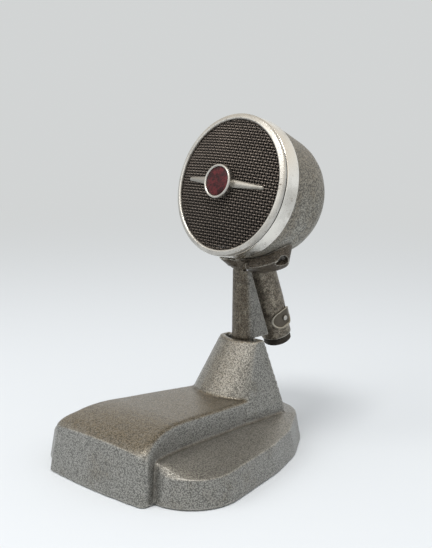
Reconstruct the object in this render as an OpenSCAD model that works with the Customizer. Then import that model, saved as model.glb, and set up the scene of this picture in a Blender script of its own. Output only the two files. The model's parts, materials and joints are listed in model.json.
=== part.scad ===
// Desk microphone of the 1940s on a cast base: a tilting round head on an upright leg.
// Millimetres, +Z up, the grille faces -Y, the origin is on the table under the middle of the base.

/* [Head] */
// Height of the grille centre above the table
head_z = 147.7; // [140:0.1:180]
// Distance of the grille centre behind the middle of the base
head_y = 28.2; // [22:0.1:34]
// Upward tilt of the grille at rest, in degrees
head_tilt = 16.4; // [8:0.1:20]
// Radius of the grille opening in the front ring
grille_r = 36; // [30:0.1:40]
// How far the middle of the grille stands out of its rim
grille_dome = 6.5; // [3:0.1:9]
// Thickness of the wire cloth
mesh_t = 0.8; // [0.5:0.1:1.2]
// Width of the front ring's face
bezel_w = 3.5; // [2.5:0.1:5]
// Depth of the front ring
bezel_depth = 2; // [1.6:0.1:3]
// Dark gap between the front ring and the side band
bezel_gap = 0.3; // [0.2:0.05:0.6]
// Length of the polished side band
band_len = 9.6; // [6:0.1:14]
// Wall of the side band
band_wall = 1.8; // [1.2:0.1:2.4]
// Length of the tapered wall of the head shell behind the band
shell_taper_len = 23; // [18:0.1:30]
// How much the radius of the head shell shrinks along the taper
shell_taper = 4.3; // [2:0.1:6]
// Radius of the rounding at the back of the head shell
shell_round = 26; // [18:0.5:27]
// Wall of the head shell
shell_wall = 2.2; // [1.6:0.1:3]

/* [Badge] */
// Radius of the badge cup on the grille
badge_r = 9.4; // [7:0.1:11]
// Height of the badge cup above the grille
badge_h = 4.4; // [3:0.1:6]
// Width of the bright rim around the enamel
badge_rim = 1.5; // [1:0.1:2.5]
// Length of the trim bar from tip to tip
trim_len = 56; // [40:1:62]
// Width of the trim bar at the badge
trim_w = 6; // [4:0.1:8]
// Width of the trim bar at its tips
trim_tip_w = 2; // [1:0.1:4]
// Thickness of the trim bar
trim_t = 1.4; // [1:0.1:2]

/* [Cradle and cable tube] */
// Distance of the tilt hinge below the head's rim
hinge_under = 1.5; // [1.3:0.1:3.5]
// Distance of the tilt hinge behind the grille plane
hinge_back = 20.3; // [18:0.1:23]
// Radius of the hinge knuckles on the cradle
knuckle_r = 3.1; // [3:0.1:3.8]
// Half width of the hinge lug on the leg
lug_half = 3.5; // [3:0.1:4]
// Half width over the hinge knuckles
knuckle_half = 6.9; // [6.4:0.1:8]
// Radius of the hinge screw's shank
hinge_pin_r = 1.6; // [1.2:0.05:1.8]
// Thickness of the cradle below the head's rim
cradle_t = 3.7; // [3.3:0.1:5]
// How far the head turns up from rest, in degrees
tilt_up = 7; // [4:1:8]
// How far the head turns down from rest, in degrees
tilt_down = 16; // [8:1:18]
// Radius of the cradle's front tip, seen from below
cradle_tip_r = 5.2; // [4:0.1:7]
// Distance of the cradle's front tip centre behind the grille plane
cradle_tip_o = 11; // [9:0.1:14]
// Half distance between the cradle's wing centres
wing_x = 19; // [15:0.1:21]
// Distance of the wing centres behind the grille plane
wing_o = 29.3; // [26:0.1:31]
// Radius of the cradle's wings, seen from below
wing_r = 6.8; // [5:0.1:8]
// Angle of the cable tube behind the head's upright line, in degrees
tube_back = 34.4; // [30:0.1:38]
// Distance of the tube's top behind the grille plane
tube_o = 35.2; // [33:0.1:38]
// How far inside the head's rim the tube's top lies
tube_in = 4.3; // [2.5:0.1:5.5]
// Length of the tube from its top to its cable end
tube_len = 53.5; // [48:0.1:60]
// Radius of the tube at its top
tube_top_r = 7.5; // [7:0.1:8.2]
// How far the tube's lower grip stands out round the connector thread
tube_lip = 0.76; // [0.4:0.02:1.2]
// Length of the tube's straight grip and its ribs
tube_grip_len = 27; // [24:0.5:30]
// Radius of the lead passage through the tube
tube_bore_r = 3.4; // [2.5:0.1:4]

/* [Cable connector] */
// Outer radius of the connector thread, five eighths of an inch across
connector_r = 7.94; // [7.9:0.01:8]
// Length of the connector thread that stands out of the tube
connector_len = 4.5; // [3.5:0.1:6]
// Wall of the connector ring
connector_wall = 1.5; // [1.2:0.1:2]
// Radius of the centre contact
contact_r = 1.2; // [0.8:0.1:1.6]

/* [Name plate] */
// Height of the plate along the tube
plate_h = 10.6; // [8:0.1:12]
// Half of the angle that the plate wraps round the tube, in degrees
plate_half_angle = 56; // [45:1:70]
// Turn of the plate from the tube's rear towards its right side, in degrees
plate_turn = 86; // [60:1:100]
// Thickness of the plate
plate_t = 0.8; // [0.5:0.1:1]
// Height of the raised rim above the plate
plate_rim_t = 0.5; // [0.3:0.05:0.7]

/* [Leg] */
// Half width of the leg at its foot
leg_foot_r = 8; // [7:0.1:9]
// Half width of the leg under the hinge
leg_top_r = 6.5; // [6:0.1:7.5]
// Depth of the leg's sides at the foot, front to back
leg_foot_depth = 18.5; // [15:0.1:20]
// Depth of the leg's sides at the top, front to back
leg_top_depth = 5; // [4.5:0.1:8]
// Distance of the leg's front ahead of the hinge axis
leg_front = 2.2; // [1.5:0.1:3]
// Wall of the leg's channel
leg_wall = 2.1; // [1.6:0.1:2.6]
// Width of the spigot that stands in the pedestal
spigot_w = 15.2; // [12:0.1:18]
// Depth of the spigot from front to back
spigot_d = 5.4; // [4.8:0.1:5.6]

/* [Base] */
// Height of the pedestal's top above the table
pedestal_z = 60.2; // [52:0.1:75]
// Half width of the pedestal's top
pedestal_top_w = 14; // [12:0.1:16]
// Depth of the pedestal's rim behind the leg's spigot
pedestal_rim_d = 2.8; // [1.8:0.1:5]
// Bulge of the pedestal's rounded front at the top
pedestal_top_bulge = 5.4; // [3:0.1:7]
// Half width of the pedestal where it leaves the block
pedestal_foot_w = 23.2; // [20:0.1:25]
// Distance of the pedestal's foot edge behind the middle of the base
pedestal_foot_y = 19; // [15:0.1:24]
// Bulge of the pedestal's rounded front at the foot
pedestal_foot_bulge = 15; // [10:0.1:18]
// Back of the pedestal behind the middle of the base
pedestal_back_y = 51; // [46:0.1:56]
// Wall of the casting
cast_wall = 3; // [2.4:0.1:4]
// Half width of the block at its front
block_front_w = 38.3; // [34:0.1:42]
// Half width of the block under the pedestal
block_back_w = 23.6; // [23:0.1:26]
// Distance of the block's front face ahead of the middle of the base
block_front = 70.6; // [66:0.1:76]
// Bow of the block's front face
block_bow = 1.8; // [0:0.1:4]
// Height of the block's front top edge
block_front_z = 25.2; // [22:0.1:27]
// Height of the block's top behind the rolled front
block_top_z = 34.2; // [30:0.1:37]
// Height of the block's top at the pedestal
block_back_z = 31.4; // [28:0.1:33]
// Draft of the block's walls, from foot to top
block_draft = 1.6; // [0.5:0.1:3]
// Crown of the block's front top edge
block_crown = 2.6; // [0:0.1:4]
// Radius of the base's front shoulders
shoulder_r = 26; // [22:0.1:30]
// Half distance between the shoulder centres
shoulder_x = 38; // [34:0.1:42]
// Distance of the shoulder centres ahead of the middle of the base
shoulder_y = 36.4; // [32:0.1:40]
// Radius of the base's flanks
flank_r = 35.5; // [32:0.1:38]
// Half distance between the flank centres
flank_x = 18; // [14:0.1:21]
// Half distance between the centres of the base's hips, behind the flanks
hip_x = 11.5; // [8:0.1:15]
// Distance of the hip centres behind the middle of the base
hip_y = 23; // [18:0.1:28]
// Radius of the base's hips
hip_r = 33.2; // [30:0.1:35]
// Radius of the base's rounded tail
tail_r = 31.8; // [26:0.1:34]
// Distance of the tail centre behind the middle of the base
tail_y = 41.6; // [36:0.1:46]
// Height of the ledge at its outer edge
ledge_edge_z = 15.2; // [13:0.1:18]
// Height of the ledge at the block's wall
ledge_wall_z = 20.4; // [16:0.1:23]
// How much lower the ledge is behind the pedestal than beside the block
ledge_tail_drop = 2.4; // [0:0.1:4]
// Draft of the ledge's outer wall, from foot to top
ledge_draft = 2.6; // [1:0.1:4]
// Thickness of the felt pad
felt_t = 1.6; // [1:0.1:3]
// Thickness of the bottom plate
bottom_t = 1.2; // [0.8:0.1:2]
// How far the felt stands out of the casting
felt_proud = 0.5; // [0.3:0.1:1]

/* [Fits] */
// Radial clearance of the hinge screw in the lug
hinge_clear = 0.05; // [0.03:0.01:0.09]
// Clearance of a fixed screw in its hole
screw_clear = 0.06; // [0.03:0.01:0.2]
// Clearance between fixed pieces that lie in each other
seat_clear = 0.25; // [0.15:0.05:0.35]
// Clearance between the cradle and the leg where they turn past each other
turn_clear = 0.4; // [0.3:0.05:0.6]
// Gap between the leg's skirt and the pedestal's rim
skirt_gap = 0.4; // [0.3:0.1:2]

/* [Hidden] */
$fn = 96;

tiny = 0.02;
steps = 8;

// Head's rim, and what follows it below
bezel_r = grille_r + bezel_w;
hinge_drop = bezel_r + hinge_under;
cradle_r = bezel_r + cradle_t;
tube_drop = bezel_r - tube_in;
tube_grip_r = connector_r + tube_lip;

// The head's frame: x across, y up the head, z out of the grille
head_up = [0, sin(head_tilt), cos(head_tilt)];
head_out = [0, -cos(head_tilt), sin(head_tilt)];
hinge_y = head_y - hinge_drop * head_up[1] - hinge_back * head_out[1];
hinge_z = head_z - hinge_drop * head_up[2] - hinge_back * head_out[2];

// Front ring, band and shell, as radii and distances behind the grille plane
band_front = bezel_depth + bezel_gap;
band_back = band_front + band_len;
shell_neck_r = bezel_r - band_wall - seat_clear;
shell_front_r = bezel_r - 0.6;
taper_slope = shell_taper / shell_taper_len;
round_angle = atan(taper_slope);
taper_end = band_back + shell_taper_len;
round_r = shell_front_r - shell_taper - shell_round * cos(round_angle);
round_o = taper_end - shell_round * sin(round_angle);
shell_back = round_o + shell_round;

dome_r = (grille_r * grille_r + grille_dome * grille_dome) / (2 * grille_dome);
rim_in = 0.4;

// Leg heights
skirt_z = pedestal_z + skirt_gap;
leg_top_z = hinge_z - 2.6;
leg_front_y = hinge_y - leg_front;
spigot_z = pedestal_z - 22;
floor_t = 5;

// Base
cast_bottom = felt_proud;
plate_z = felt_t;
plate_inset = cast_wall + seat_clear + ledge_draft * (plate_z + bottom_t + 1)
    / (ledge_edge_z - cast_wall + 1);
boss_r = 4;
plate_screw_r = 1.6;
plate_screw_len = 9;
boss_places = [[43, -36], [-43, -36], [13, 56], [-13, 56]];
leg_bolt_r = 1.2;
leg_bolt_x = 3.2;

// Places an object in the head's frame
module in_head() {
    translate([0, head_y, head_z]) rotate([90 - head_tilt, 0, 0]) children();
}

// Places an object in the tube's frame: z up the tube from its top, y to its rear
module in_tube() {
    in_head() translate([0, -tube_drop, -tube_o]) rotate([tube_back - 90, 0, 0]) children();
}

// A round bar along x through the hinge, from x0 to x1
module hinge_bar(r, x0, x1) {
    translate([x0, hinge_y, hinge_z]) rotate([0, 90, 0]) cylinder(r = r, h = x1 - x0);
}

function reversed(v) = [for (i = [len(v) - 1:-1:0]) v[i]];
function dome_z(r) = sqrt(dome_r * dome_r - r * r) - (dome_r - grille_dome);

// Outline of the head shell, radius and distance behind the grille plane, shrunk by a wall
function shell_arc(wall) = [for (i = [0:steps]) let (a = round_angle + (90 - round_angle) * i / steps)
    [round_r + (shell_round - wall) * cos(a), -(round_o + (shell_round - wall) * sin(a))]];

module shell_solid(wall, front, front_r) {
    rotate_extrude() polygon(concat(
        [[0, -front], [front_r, -front], [front_r, -band_back], [shell_front_r - wall, -band_back]],
        shell_arc(wall), [[0, -shell_back + wall]]));
}

// Base

module base_outline(inset) {
    hull() {
        for (s = [-1, 1]) {
            translate([s * shoulder_x, -shoulder_y]) circle(r = shoulder_r - inset, $fn = 48);
            translate([s * flank_x, 2]) circle(r = flank_r - inset, $fn = 48);
            translate([s * hip_x, hip_y]) circle(r = hip_r - inset, $fn = 48);
        }
        translate([0, tail_y]) circle(r = tail_r - inset, $fn = 48);
    }
}

// Ends of the ledge's crest: beside the block in front, and behind the pedestal
module ledge_front(inset) {
    for (s = [-1, 1]) translate([s * (shoulder_x - 5 - inset), -shoulder_y - shoulder_r + 8])
        circle(r = 4, $fn = 16);
}
module ledge_tail() {
    for (s = [-1, 1]) translate([s * (pedestal_foot_w - 6), tail_y + 4]) circle(r = 6, $fn = 16);
}

// The two lobes and the tail, with a ledge that falls from the block's wall to its edge
module lobes(inset, bottom) {
    hull() {
        translate([0, 0, bottom]) linear_extrude(tiny) base_outline(inset);
        translate([0, 0, ledge_edge_z - inset]) linear_extrude(tiny)
            base_outline(inset + ledge_draft);
        translate([0, 0, ledge_wall_z - inset]) linear_extrude(tiny) ledge_front(inset);
        translate([0, 0, ledge_wall_z - ledge_tail_drop - inset]) linear_extrude(tiny) ledge_tail();
    }
}

// Block: half width, top height, crown and lean of its stations from the front face to the pedestal
function block_w(y) = lookup(y, [
    [-block_front, block_front_w - 2.4], [-block_front + 1.2, block_front_w - 0.9],
    [-block_front + 3.4, block_front_w], [-block_front + 8, block_front_w - 0.6],
    [-56, block_front_w - 3.9], [-48, block_front_w - 6], [-38, block_front_w - 8],
    [-24, block_front_w - 9.8], [-8, block_front_w - 11.2], [20, block_back_w], [48, block_back_w - 2.6]]);
function block_z(y) = lookup(y, [
    [-block_front + 3, block_front_z], [-block_front + 6, block_front_z + 2.4],
    [-block_front + 10, block_front_z + 4.8], [-55, block_top_z - 2.3], [-50, block_top_z - 1],
    [-44, block_top_z - 0.2], [-36, block_top_z], [20, block_back_z], [48, block_back_z]]);
function block_arch(y) = lookup(y, [[-block_front, block_crown], [-55, 1.2], [-30, 0.6]]);
block_ys = [-block_front, -block_front + 1.2, -block_front + 3.4, -block_front + 6,
    -block_front + 8.5, -block_front + 11.5, -55.5, -51.5, -47, -42, -36, -28, -18, -6, 6, 20, 34, 48];
// Columns across the block: share of the half width, and share of the edge rounding lost
block_columns = [[1, 1], [0.985, 0.5], [0.955, 0.2], [0.9, 0.04], [0.65, 0], [0.35, 0], [0, 0]];
function edge_round(y) = lookup(y, [[-65, 6], [-58, 4.6], [-50, 3], [-40, 2.2]]);
block_cols = concat(block_columns, [for (i = [len(block_columns) - 2:-1:0])
    [-block_columns[i][0], block_columns[i][1]]]);

function block_bottom(y, c, inset, low) =
    [c[0] * (block_w(y) - inset), y - block_bow * (1 - c[0] * c[0]) * bow_share(y), low];
function bow_share(y) = max(0, 1 - (y + block_front) / 4);
function top_shift(y) = max(0, 3 - 0.34 * (y + block_front));
function block_top(y, c, inset) = let (ty = y + top_shift(y) - block_bow * 0.6
        * (1 - c[0] * c[0]) * bow_share(y))
    [c[0] * (block_w(y) - block_draft - inset), ty,
     block_z(ty) + block_arch(ty) * (1 - c[0] * c[0]) - edge_round(ty) * c[1] - inset];

// A solid between a grid of low points and a grid of high points
module grid_solid(low, high) {
    n = len(low);
    m = len(low[0]);
    count = n * m;
    points = concat([for (row = low) for (p = row) p], [for (row = high) for (p = row) p]);
    faces = concat(
        [for (i = [0:n - 2]) for (j = [0:m - 2]) for (f = [
            [i * m + j, i * m + j + 1, (i + 1) * m + j],
            [i * m + j + 1, (i + 1) * m + j + 1, (i + 1) * m + j]]) f],
        [for (i = [0:n - 2]) for (j = [0:m - 2]) for (f = [
            [count + i * m + j, count + (i + 1) * m + j, count + i * m + j + 1],
            [count + i * m + j + 1, count + (i + 1) * m + j, count + (i + 1) * m + j + 1]]) f],
        [for (i = [0:n - 2]) for (e = [[0, 1], [m - 1, 0]]) let (j = e[0], a = i * m + j,
            b = (i + 1) * m + j, q = e[1] == 1) for (f = q
            ? [[a, b, count + a], [b, count + b, count + a]]
            : [[a, count + a, b], [b, count + a, count + b]]) f],
        [for (j = [0:m - 2]) for (e = [[0, 0], [n - 1, 1]]) let (i = e[0], a = i * m + j,
            b = i * m + j + 1, q = e[1] == 1) for (f = q
            ? [[a, b, count + a], [b, count + b, count + a]]
            : [[a, count + a, b], [b, count + a, count + b]]) f]);
    polyhedron(points, [for (f = faces) reversed(f)]);
}

module block_solid(inset, low) {
    ys = [for (i = [0:len(block_ys) - 1]) i == 0 ? block_ys[0] + inset : block_ys[i]];
    shown = [for (i = [0:len(ys) - 1]) if (i == 0 || ys[i] > ys[0] + 0.6) ys[i]];
    grid_solid([for (y = shown) [for (c = block_cols) block_bottom(y, c, inset, low)]],
        [for (y = shown) [for (c = block_cols) block_top(y, c, inset)]]);
}

// A D-shaped outline: a bulged front arc between two edges, and a straight back
module d_outline(w, edge_y, bulge, back_y, back_w) {
    arc_r = (w * w + bulge * bulge) / (2 * bulge);
    half = asin(w / arc_r);
    polygon(concat([for (i = [0:steps]) let (a = -half + 2 * half * i / steps)
            [arc_r * sin(a), edge_y - bulge + arc_r - arc_r * cos(a)]],
        [[back_w, back_y], [-back_w, back_y]]));
}

pedestal_front_y = leg_front_y - 3.6;
spigot_y = leg_front_y + 0.2;
pedestal_top_d = spigot_y + spigot_d + pedestal_rim_d - pedestal_front_y;
pedestal_edge_y = pedestal_front_y + pedestal_top_bulge;

module pedestal_solid(inset, bottom, top) {
    hull() {
        translate([0, 0, bottom]) linear_extrude(tiny) offset(delta = -inset)
            d_outline(pedestal_foot_w, pedestal_foot_y, pedestal_foot_bulge, pedestal_back_y,
                pedestal_foot_w - 2.4);
        translate([0, 0, top]) linear_extrude(tiny) offset(delta = -inset)
            d_outline(pedestal_top_w, pedestal_edge_y, pedestal_top_bulge,
                pedestal_front_y + pedestal_top_d, pedestal_top_w - 0.3);
    }
}

pedestal_root_z = 24;
socket_wall = 2.4;
skirt_low = ledge_wall_z - ledge_tail_drop - 3;

// Skirt that carries the pedestal's foot down onto the ledge behind the block
module pedestal_skirt(inset, low) {
    back_top = pedestal_front_y + pedestal_top_d;
    run = (pedestal_back_y - back_top) * (pedestal_root_z - low) / (pedestal_z - pedestal_root_z);
    hull() {
        translate([0, 0, low]) linear_extrude(tiny) offset(delta = -inset)
            d_outline(pedestal_foot_w, pedestal_foot_y, pedestal_foot_bulge, pedestal_back_y + run,
                pedestal_foot_w - 2.4);
        translate([0, 0, pedestal_root_z]) linear_extrude(tiny) offset(delta = -inset)
            d_outline(pedestal_foot_w, pedestal_foot_y, pedestal_foot_bulge, pedestal_back_y,
                pedestal_foot_w - 2.4);
    }
}
boss_top = 20;

module plate_outline(gap) {
    union() {
        offset(delta = -gap) base_outline(0);
        translate([0, -(block_front + shoulder_y) / 2]) square([2 * (block_front_w - 3.4 - gap),
            block_front - shoulder_y - 2 * gap], center = true);
    }
}

module base_casting() {
    color("#7c7c76") difference() {
        union() {
            difference() {
                union() {
                    lobes(0, cast_bottom);
                    block_solid(0, cast_bottom);
                    pedestal_solid(0, pedestal_root_z, pedestal_z - tiny);
                    pedestal_skirt(0, skirt_low);
                }
                lobes(cast_wall, -1);
                block_solid(cast_wall, -1);
                pedestal_skirt(cast_wall, skirt_low - 1);
                difference() {
                    pedestal_solid(cast_wall, pedestal_root_z - 4, pedestal_z);
                    translate([0, 0, spigot_z - floor_t + 50]) cube([200, 200, 100], center = true);
                }
            }
            intersection() {
                for (p = boss_places) translate([p[0], p[1], plate_z + bottom_t])
                    cylinder(r = boss_r, h = boss_top, $fn = 32);
                lobes(1, 0);
            }
        }
        // Socket for the leg
        translate([0, 0, spigot_z]) linear_extrude(pedestal_z)
            offset(delta = -socket_wall) d_outline(pedestal_top_w, pedestal_edge_y,
                pedestal_top_bulge, pedestal_front_y + pedestal_top_d, pedestal_top_w - 0.3);
        for (s = [-1, 1]) translate([s * leg_bolt_x, leg_bolt_y, spigot_z - floor_t - 1])
            cylinder(r = leg_bolt_r + 0.2, h = floor_t + 2);
        for (p = boss_places) translate([p[0], p[1], 0])
            cylinder(r = plate_screw_r + screw_clear, h = plate_z + plate_screw_len + 0.6);
    }
}

leg_bolt_y = leg_front_y + 3.1;

module bottom_plate() {
    color("#5b5d60") difference() {
        translate([0, 0, plate_z]) linear_extrude(bottom_t) plate_outline(plate_inset);
        for (p = boss_places) translate([p[0], p[1], plate_z - tiny]) {
            cylinder(r = plate_screw_r + 0.2, h = bottom_t + 1);
            cylinder(r1 = 3.1, r2 = plate_screw_r + 0.1, h = bottom_t);
        }
    }
}

module felt_pad() {
    color("#26282a") difference() {
        linear_extrude(plate_z) plate_outline(plate_inset + 0.3);
        for (p = boss_places) translate([p[0], p[1], -1]) cylinder(r = 4.2, h = plate_z + 2);
    }
}

module plate_screws() {
    color("#8b8d90") for (p = boss_places) translate([p[0], p[1], plate_z]) difference() {
        union() {
            cylinder(r1 = 2.9, r2 = plate_screw_r, h = bottom_t - 0.1);
            cylinder(r = plate_screw_r, h = plate_screw_len);
        }
        translate([-4, -0.35, -1]) cube([8, 0.7, 1.6]);
    }
}

// Leg: a tapered channel with a rounded front, open at the back
module leg_section(r, depth, open) {
    intersection() {
        union() {
            translate([0, r]) circle(r = r, $fn = 48);
            translate([-r, r]) square([2 * r, 60]);
        }
        translate([-30, -1]) square([60, depth + 1 + open]);
    }
}

module leg_outer() {
    hull() {
        translate([0, leg_front_y, skirt_z]) linear_extrude(tiny)
            leg_section(leg_foot_r, leg_foot_depth, 0);
        translate([0, leg_front_y, leg_top_z - tiny]) linear_extrude(tiny)
            leg_section(leg_top_r, leg_top_depth, 0);
    }
}

module leg_hollow() {
    hull() {
        translate([0, leg_front_y + leg_wall, skirt_z - 1]) linear_extrude(tiny)
            leg_section(leg_foot_r - leg_wall, leg_foot_depth, 5);
        translate([0, leg_front_y + leg_wall, leg_top_z - 9]) linear_extrude(tiny)
            leg_section(leg_top_r - leg_wall, leg_top_depth, 5);
    }
}

lug_r = knuckle_r - 0.1;
under_gap = cradle_r - hinge_drop + turn_clear;

// Everything above the cradle's underside, over the tilt range
module cradle_sweep() {
    translate([-15, hinge_y, hinge_z]) rotate([90, 0, 90]) linear_extrude(30)
        for (a = [-tilt_up, 0, tilt_down]) rotate(a - head_tilt)
            translate([-30, -under_gap]) square([60, 30]);
}

module stand_leg() {
    color("#6b655b") difference() {
        union() {
            difference() {
                leg_outer();
                leg_hollow();
                hinge_bar(knuckle_r + turn_clear, -20, 20);
                cradle_sweep();
            }
            // Solid foot of the channel, and the spigot under it
            intersection() {
                leg_outer();
                translate([-20, leg_front_y, skirt_z]) cube([40, spigot_d, 7]);
            }
            translate([0, spigot_y, spigot_z]) linear_extrude(skirt_z - spigot_z + 3)
                leg_section(spigot_w / 2, spigot_d, 0);
            hinge_bar(lug_r, -lug_half, lug_half);
            intersection() {
                translate([-lug_half, leg_front_y + 0.1, leg_top_z - 6])
                    cube([2 * lug_half, leg_top_depth - 0.2, hinge_z - leg_top_z + 6]);
                translate([0, leg_front_y + leg_top_r, leg_top_z - 8]) cylinder(r = leg_top_r, h = 15);
            }
        }
        hinge_bar(hinge_pin_r + hinge_clear, -20, 20);
        for (s = [-1, 1]) translate([s * leg_bolt_x, leg_bolt_y, spigot_z - 1])
            cylinder(r = leg_bolt_r + screw_clear, h = 15);
    }
}

module leg_bolts() {
    color("#77787a") for (s = [-1, 1])
        translate([s * leg_bolt_x, leg_bolt_y, spigot_z - floor_t - 0.6]) {
            translate([0, 0, -2]) cylinder(r = 2.6, h = 2, $fn = 6);
            translate([0, 0, -tiny]) cylinder(r = leg_bolt_r, h = floor_t + 12);
        }
}

module leg_bolt_washers() {
    color("#9a9a98") for (s = [-1, 1])
        translate([s * leg_bolt_x, leg_bolt_y, spigot_z - floor_t - 0.6]) difference() {
            cylinder(r = 3, h = 0.6);
            translate([0, 0, -1]) cylinder(r = leg_bolt_r + 0.15, h = 3);
        }
}

// Cradle and cable tube
screw_angle = 33.5;
screw_o = 28.5;
cradle_screw_r = 1.5;
recess_r = 3.6;
screw_seat = bezel_r - 0.7;

// Places an object on a cradle screw's line: z points from the head's axis outwards
module on_screw_line(s) {
    in_head() translate([0, 0, -screw_o]) rotate([90, 0, s * screw_angle]) children();
}

// Keel of the tongue: its radius, its rise in degrees and where it runs into the wings
keel_r = 6;
keel_rise = 20;
keel_back = -hinge_back + 1.2;

// The cradle from below: a narrow tongue in front, and wings that start at the hinge
module cradle_plan() {
    hull() {
        translate([0, -cradle_tip_o]) circle(r = cradle_tip_r, $fn = 32);
        translate([0, -hinge_back - 1]) circle(r = 6.4, $fn = 32);
    }
    hull() for (s = [-1, 1]) {
        translate([s * 3.6, -hinge_back - 3.4]) circle(r = 4.6, $fn = 24);
        translate([s * wing_x, -wing_o]) circle(r = wing_r, $fn = 32);
    }
}

module cradle_body() {
    in_head() difference() {
        intersection() {
            translate([0, -10, 0]) rotate([90, 0, 0]) linear_extrude(40) cradle_plan();
            translate([0, 0, -60]) cylinder(r = cradle_r, h = 60);
        }
        // Outside of the tongue's rounded keel, which rises to a thin front tip
        difference() {
            translate([-30, -60, keel_back]) cube([60, 50, 40]);
            translate([0, keel_r - bezel_r - 0.6, cradle_tip_r - cradle_tip_o]) rotate([-keel_rise, 0, 0])
                translate([0, 0, -40]) linear_extrude(80) union() {
                    circle(r = keel_r, $fn = 48);
                    translate([-keel_r, 0]) square([2 * keel_r, 20]);
                }
        }
    }
}

// Room for the hinge lug and the leg's neck over the tilt range
module lug_room() {
    hinge_bar(lug_r + turn_clear, -lug_half - 0.3, lug_half + 0.3);
    translate([-lug_half - 0.3, hinge_y, hinge_z]) rotate([90, 0, 90])
        linear_extrude(2 * lug_half + 0.6) hull() for (a = [-tilt_down, 0, tilt_up]) rotate(a)
            translate([-lug_r - turn_clear, -9]) square([2 * (lug_r + turn_clear), 9]);
}

module cable_tube() {
    in_tube() {
        translate([0, 0, -tube_len + tube_grip_len])
            cylinder(r1 = tube_grip_r, r2 = tube_top_r, h = tube_len - tube_grip_len + 5);
        translate([0, 0, -tube_len + connector_len + 3])
            cylinder(r = tube_grip_r, h = tube_grip_len - connector_len - 3);
        translate([0, 0, -tube_len + connector_len]) rib_stack();
    }
}

module rib_stack() {
    rotate_extrude() polygon([[0, 0], [tube_grip_r, 0], [tube_grip_r, 1], [tube_grip_r - 0.5, 1],
        [tube_grip_r - 0.5, 1.6], [tube_grip_r, 1.6], [tube_grip_r, 2.5], [tube_grip_r - 0.5, 2.5],
        [tube_grip_r - 0.5, 3], [0, 3]]);
}

module cradle_shape() {
    difference() {
        union() {
            cradle_body();
            for (s = [-1, 1]) translate([s * (lug_half + 0.3), hinge_y, hinge_z]) rotate([0, s * 90, 0])
                cylinder(r1 = knuckle_r, r2 = knuckle_r - 1, h = knuckle_half - lug_half - 0.3);
            cable_tube();
        }
        in_head() shell_solid(-seat_clear, 0, bezel_r + seat_clear);
    }
}

module head_cradle() {
    color("#5c5144") difference() {
        difference() {
            difference() {
                cradle_shape();
                lug_room();
            }
            in_tube() union() {
                translate([0, 0, -tube_len - 1]) cylinder(r = tube_bore_r, h = tube_len + 12);
                translate([0, 0, -tube_len - 1]) cylinder(r = connector_r - connector_wall
                    + seat_clear, h = connector_len + 6.2);
                translate([0, 0, -tube_len + connector_len + 3.2]) rotate([-90, 0, 0])
                    cylinder(r = 1.06, h = 12);
                rotate([0, 0, -plate_turn]) plate_line() translate([0, 0, tube_grip_r - 2])
                    cylinder(r = 0.8 + screw_clear, h = 5);
            }
        }
        hinge_bar(hinge_pin_r + screw_clear, -20, knuckle_half - 0.8);
        hinge_bar(hinge_pin_r + 0.9, -20, -knuckle_half + 1.1);
        for (s = [-1, 1]) on_screw_line(s) {
            cylinder(r = cradle_screw_r + 0.1, h = 60);
            translate([0, 0, screw_seat]) cylinder(r = recess_r, h = 12);
        }
    }
}

// Slotted screw that enters from the left and ends inside the right knuckle
module hinge_screw() {
    color("#8d8f92") difference() {
        union() {
            hinge_bar(hinge_pin_r, -knuckle_half + 0.6, knuckle_half - 1);
            hinge_bar(hinge_pin_r + 0.75, -knuckle_half - 0.25, -knuckle_half + 1.05);
        }
        translate([-knuckle_half - 1.6, hinge_y - 4, hinge_z - 0.3]) cube([2, 8, 0.6]);
    }
}

module friction_washers() {
    color("#4a3a2a") for (s = [0, 1]) difference() {
        hinge_bar(lug_r, s ? lug_half : -lug_half - 0.3, s ? lug_half + 0.3 : -lug_half);
        hinge_bar(hinge_pin_r + screw_clear, -20, 20);
    }
}

// Head
module head_shell() {
    color("#77746a") difference() {
        in_head() difference() {
            shell_solid(0, band_front + 0.6, shell_neck_r);
            difference() {
                shell_solid(shell_wall, band_front, shell_neck_r - shell_wall);
                for (s = [-1, 1]) translate([0, 0, -screw_o]) rotate([90, 0, s * screw_angle])
                    translate([0, 0, screw_seat - 9.8]) cylinder(r = 3.6, h = 12);
            }
        }
        for (s = [-1, 1]) on_screw_line(s) translate([0, 0, screw_seat - 8.8])
            cylinder(r = cradle_screw_r + screw_clear, h = 12);
        in_tube() translate([0, 0, -8]) cylinder(r = tube_bore_r + 0.4, h = 30);
    }
}

module cradle_screws() {
    color("#6d6f70") for (s = [-1, 1]) on_screw_line(s) difference() {
        union() {
            translate([0, 0, screw_seat - 7.8]) cylinder(r = cradle_screw_r, h = 8);
            translate([0, 0, screw_seat + 0.05]) cylinder(r = 2.8, h = 1.7);
        }
        translate([-4, -0.4, screw_seat + 1.1]) cube([8, 0.8, 2]);
    }
}

module side_band() {
    color("#c9c6bd") in_head() rotate_extrude() polygon([
        [bezel_r - band_wall, -band_front - 0.3], [bezel_r - 0.3, -band_front - 0.3],
        [bezel_r, -band_front - 0.6], [bezel_r + 0.05, -band_back + 0.8],
        [bezel_r - 0.25, -band_back + 0.2], [bezel_r - 0.6, -band_back],
        [bezel_r - band_wall, -band_back]]);
}

module bezel_ring() {
    color("#d2cec2") in_head() rotate_extrude() polygon([
        [grille_r, 0.1], [grille_r + 0.2, 0.8], [grille_r + 0.7, 1.25], [grille_r + 1.6, 1.45],
        [bezel_r - 1, 1.3], [bezel_r - 0.4, 1], [bezel_r - 0.1, 0.5], [bezel_r, -0.1],
        [bezel_r, -bezel_depth], [bezel_r - band_wall - 0.4, -bezel_depth],
        [bezel_r - band_wall - 0.4, -band_front - 0.3], [bezel_r - band_wall - 1.4, -band_front - 0.3],
        [bezel_r - band_wall - 1.4, -rim_in], [grille_r, -rim_in]]);
}

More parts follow.
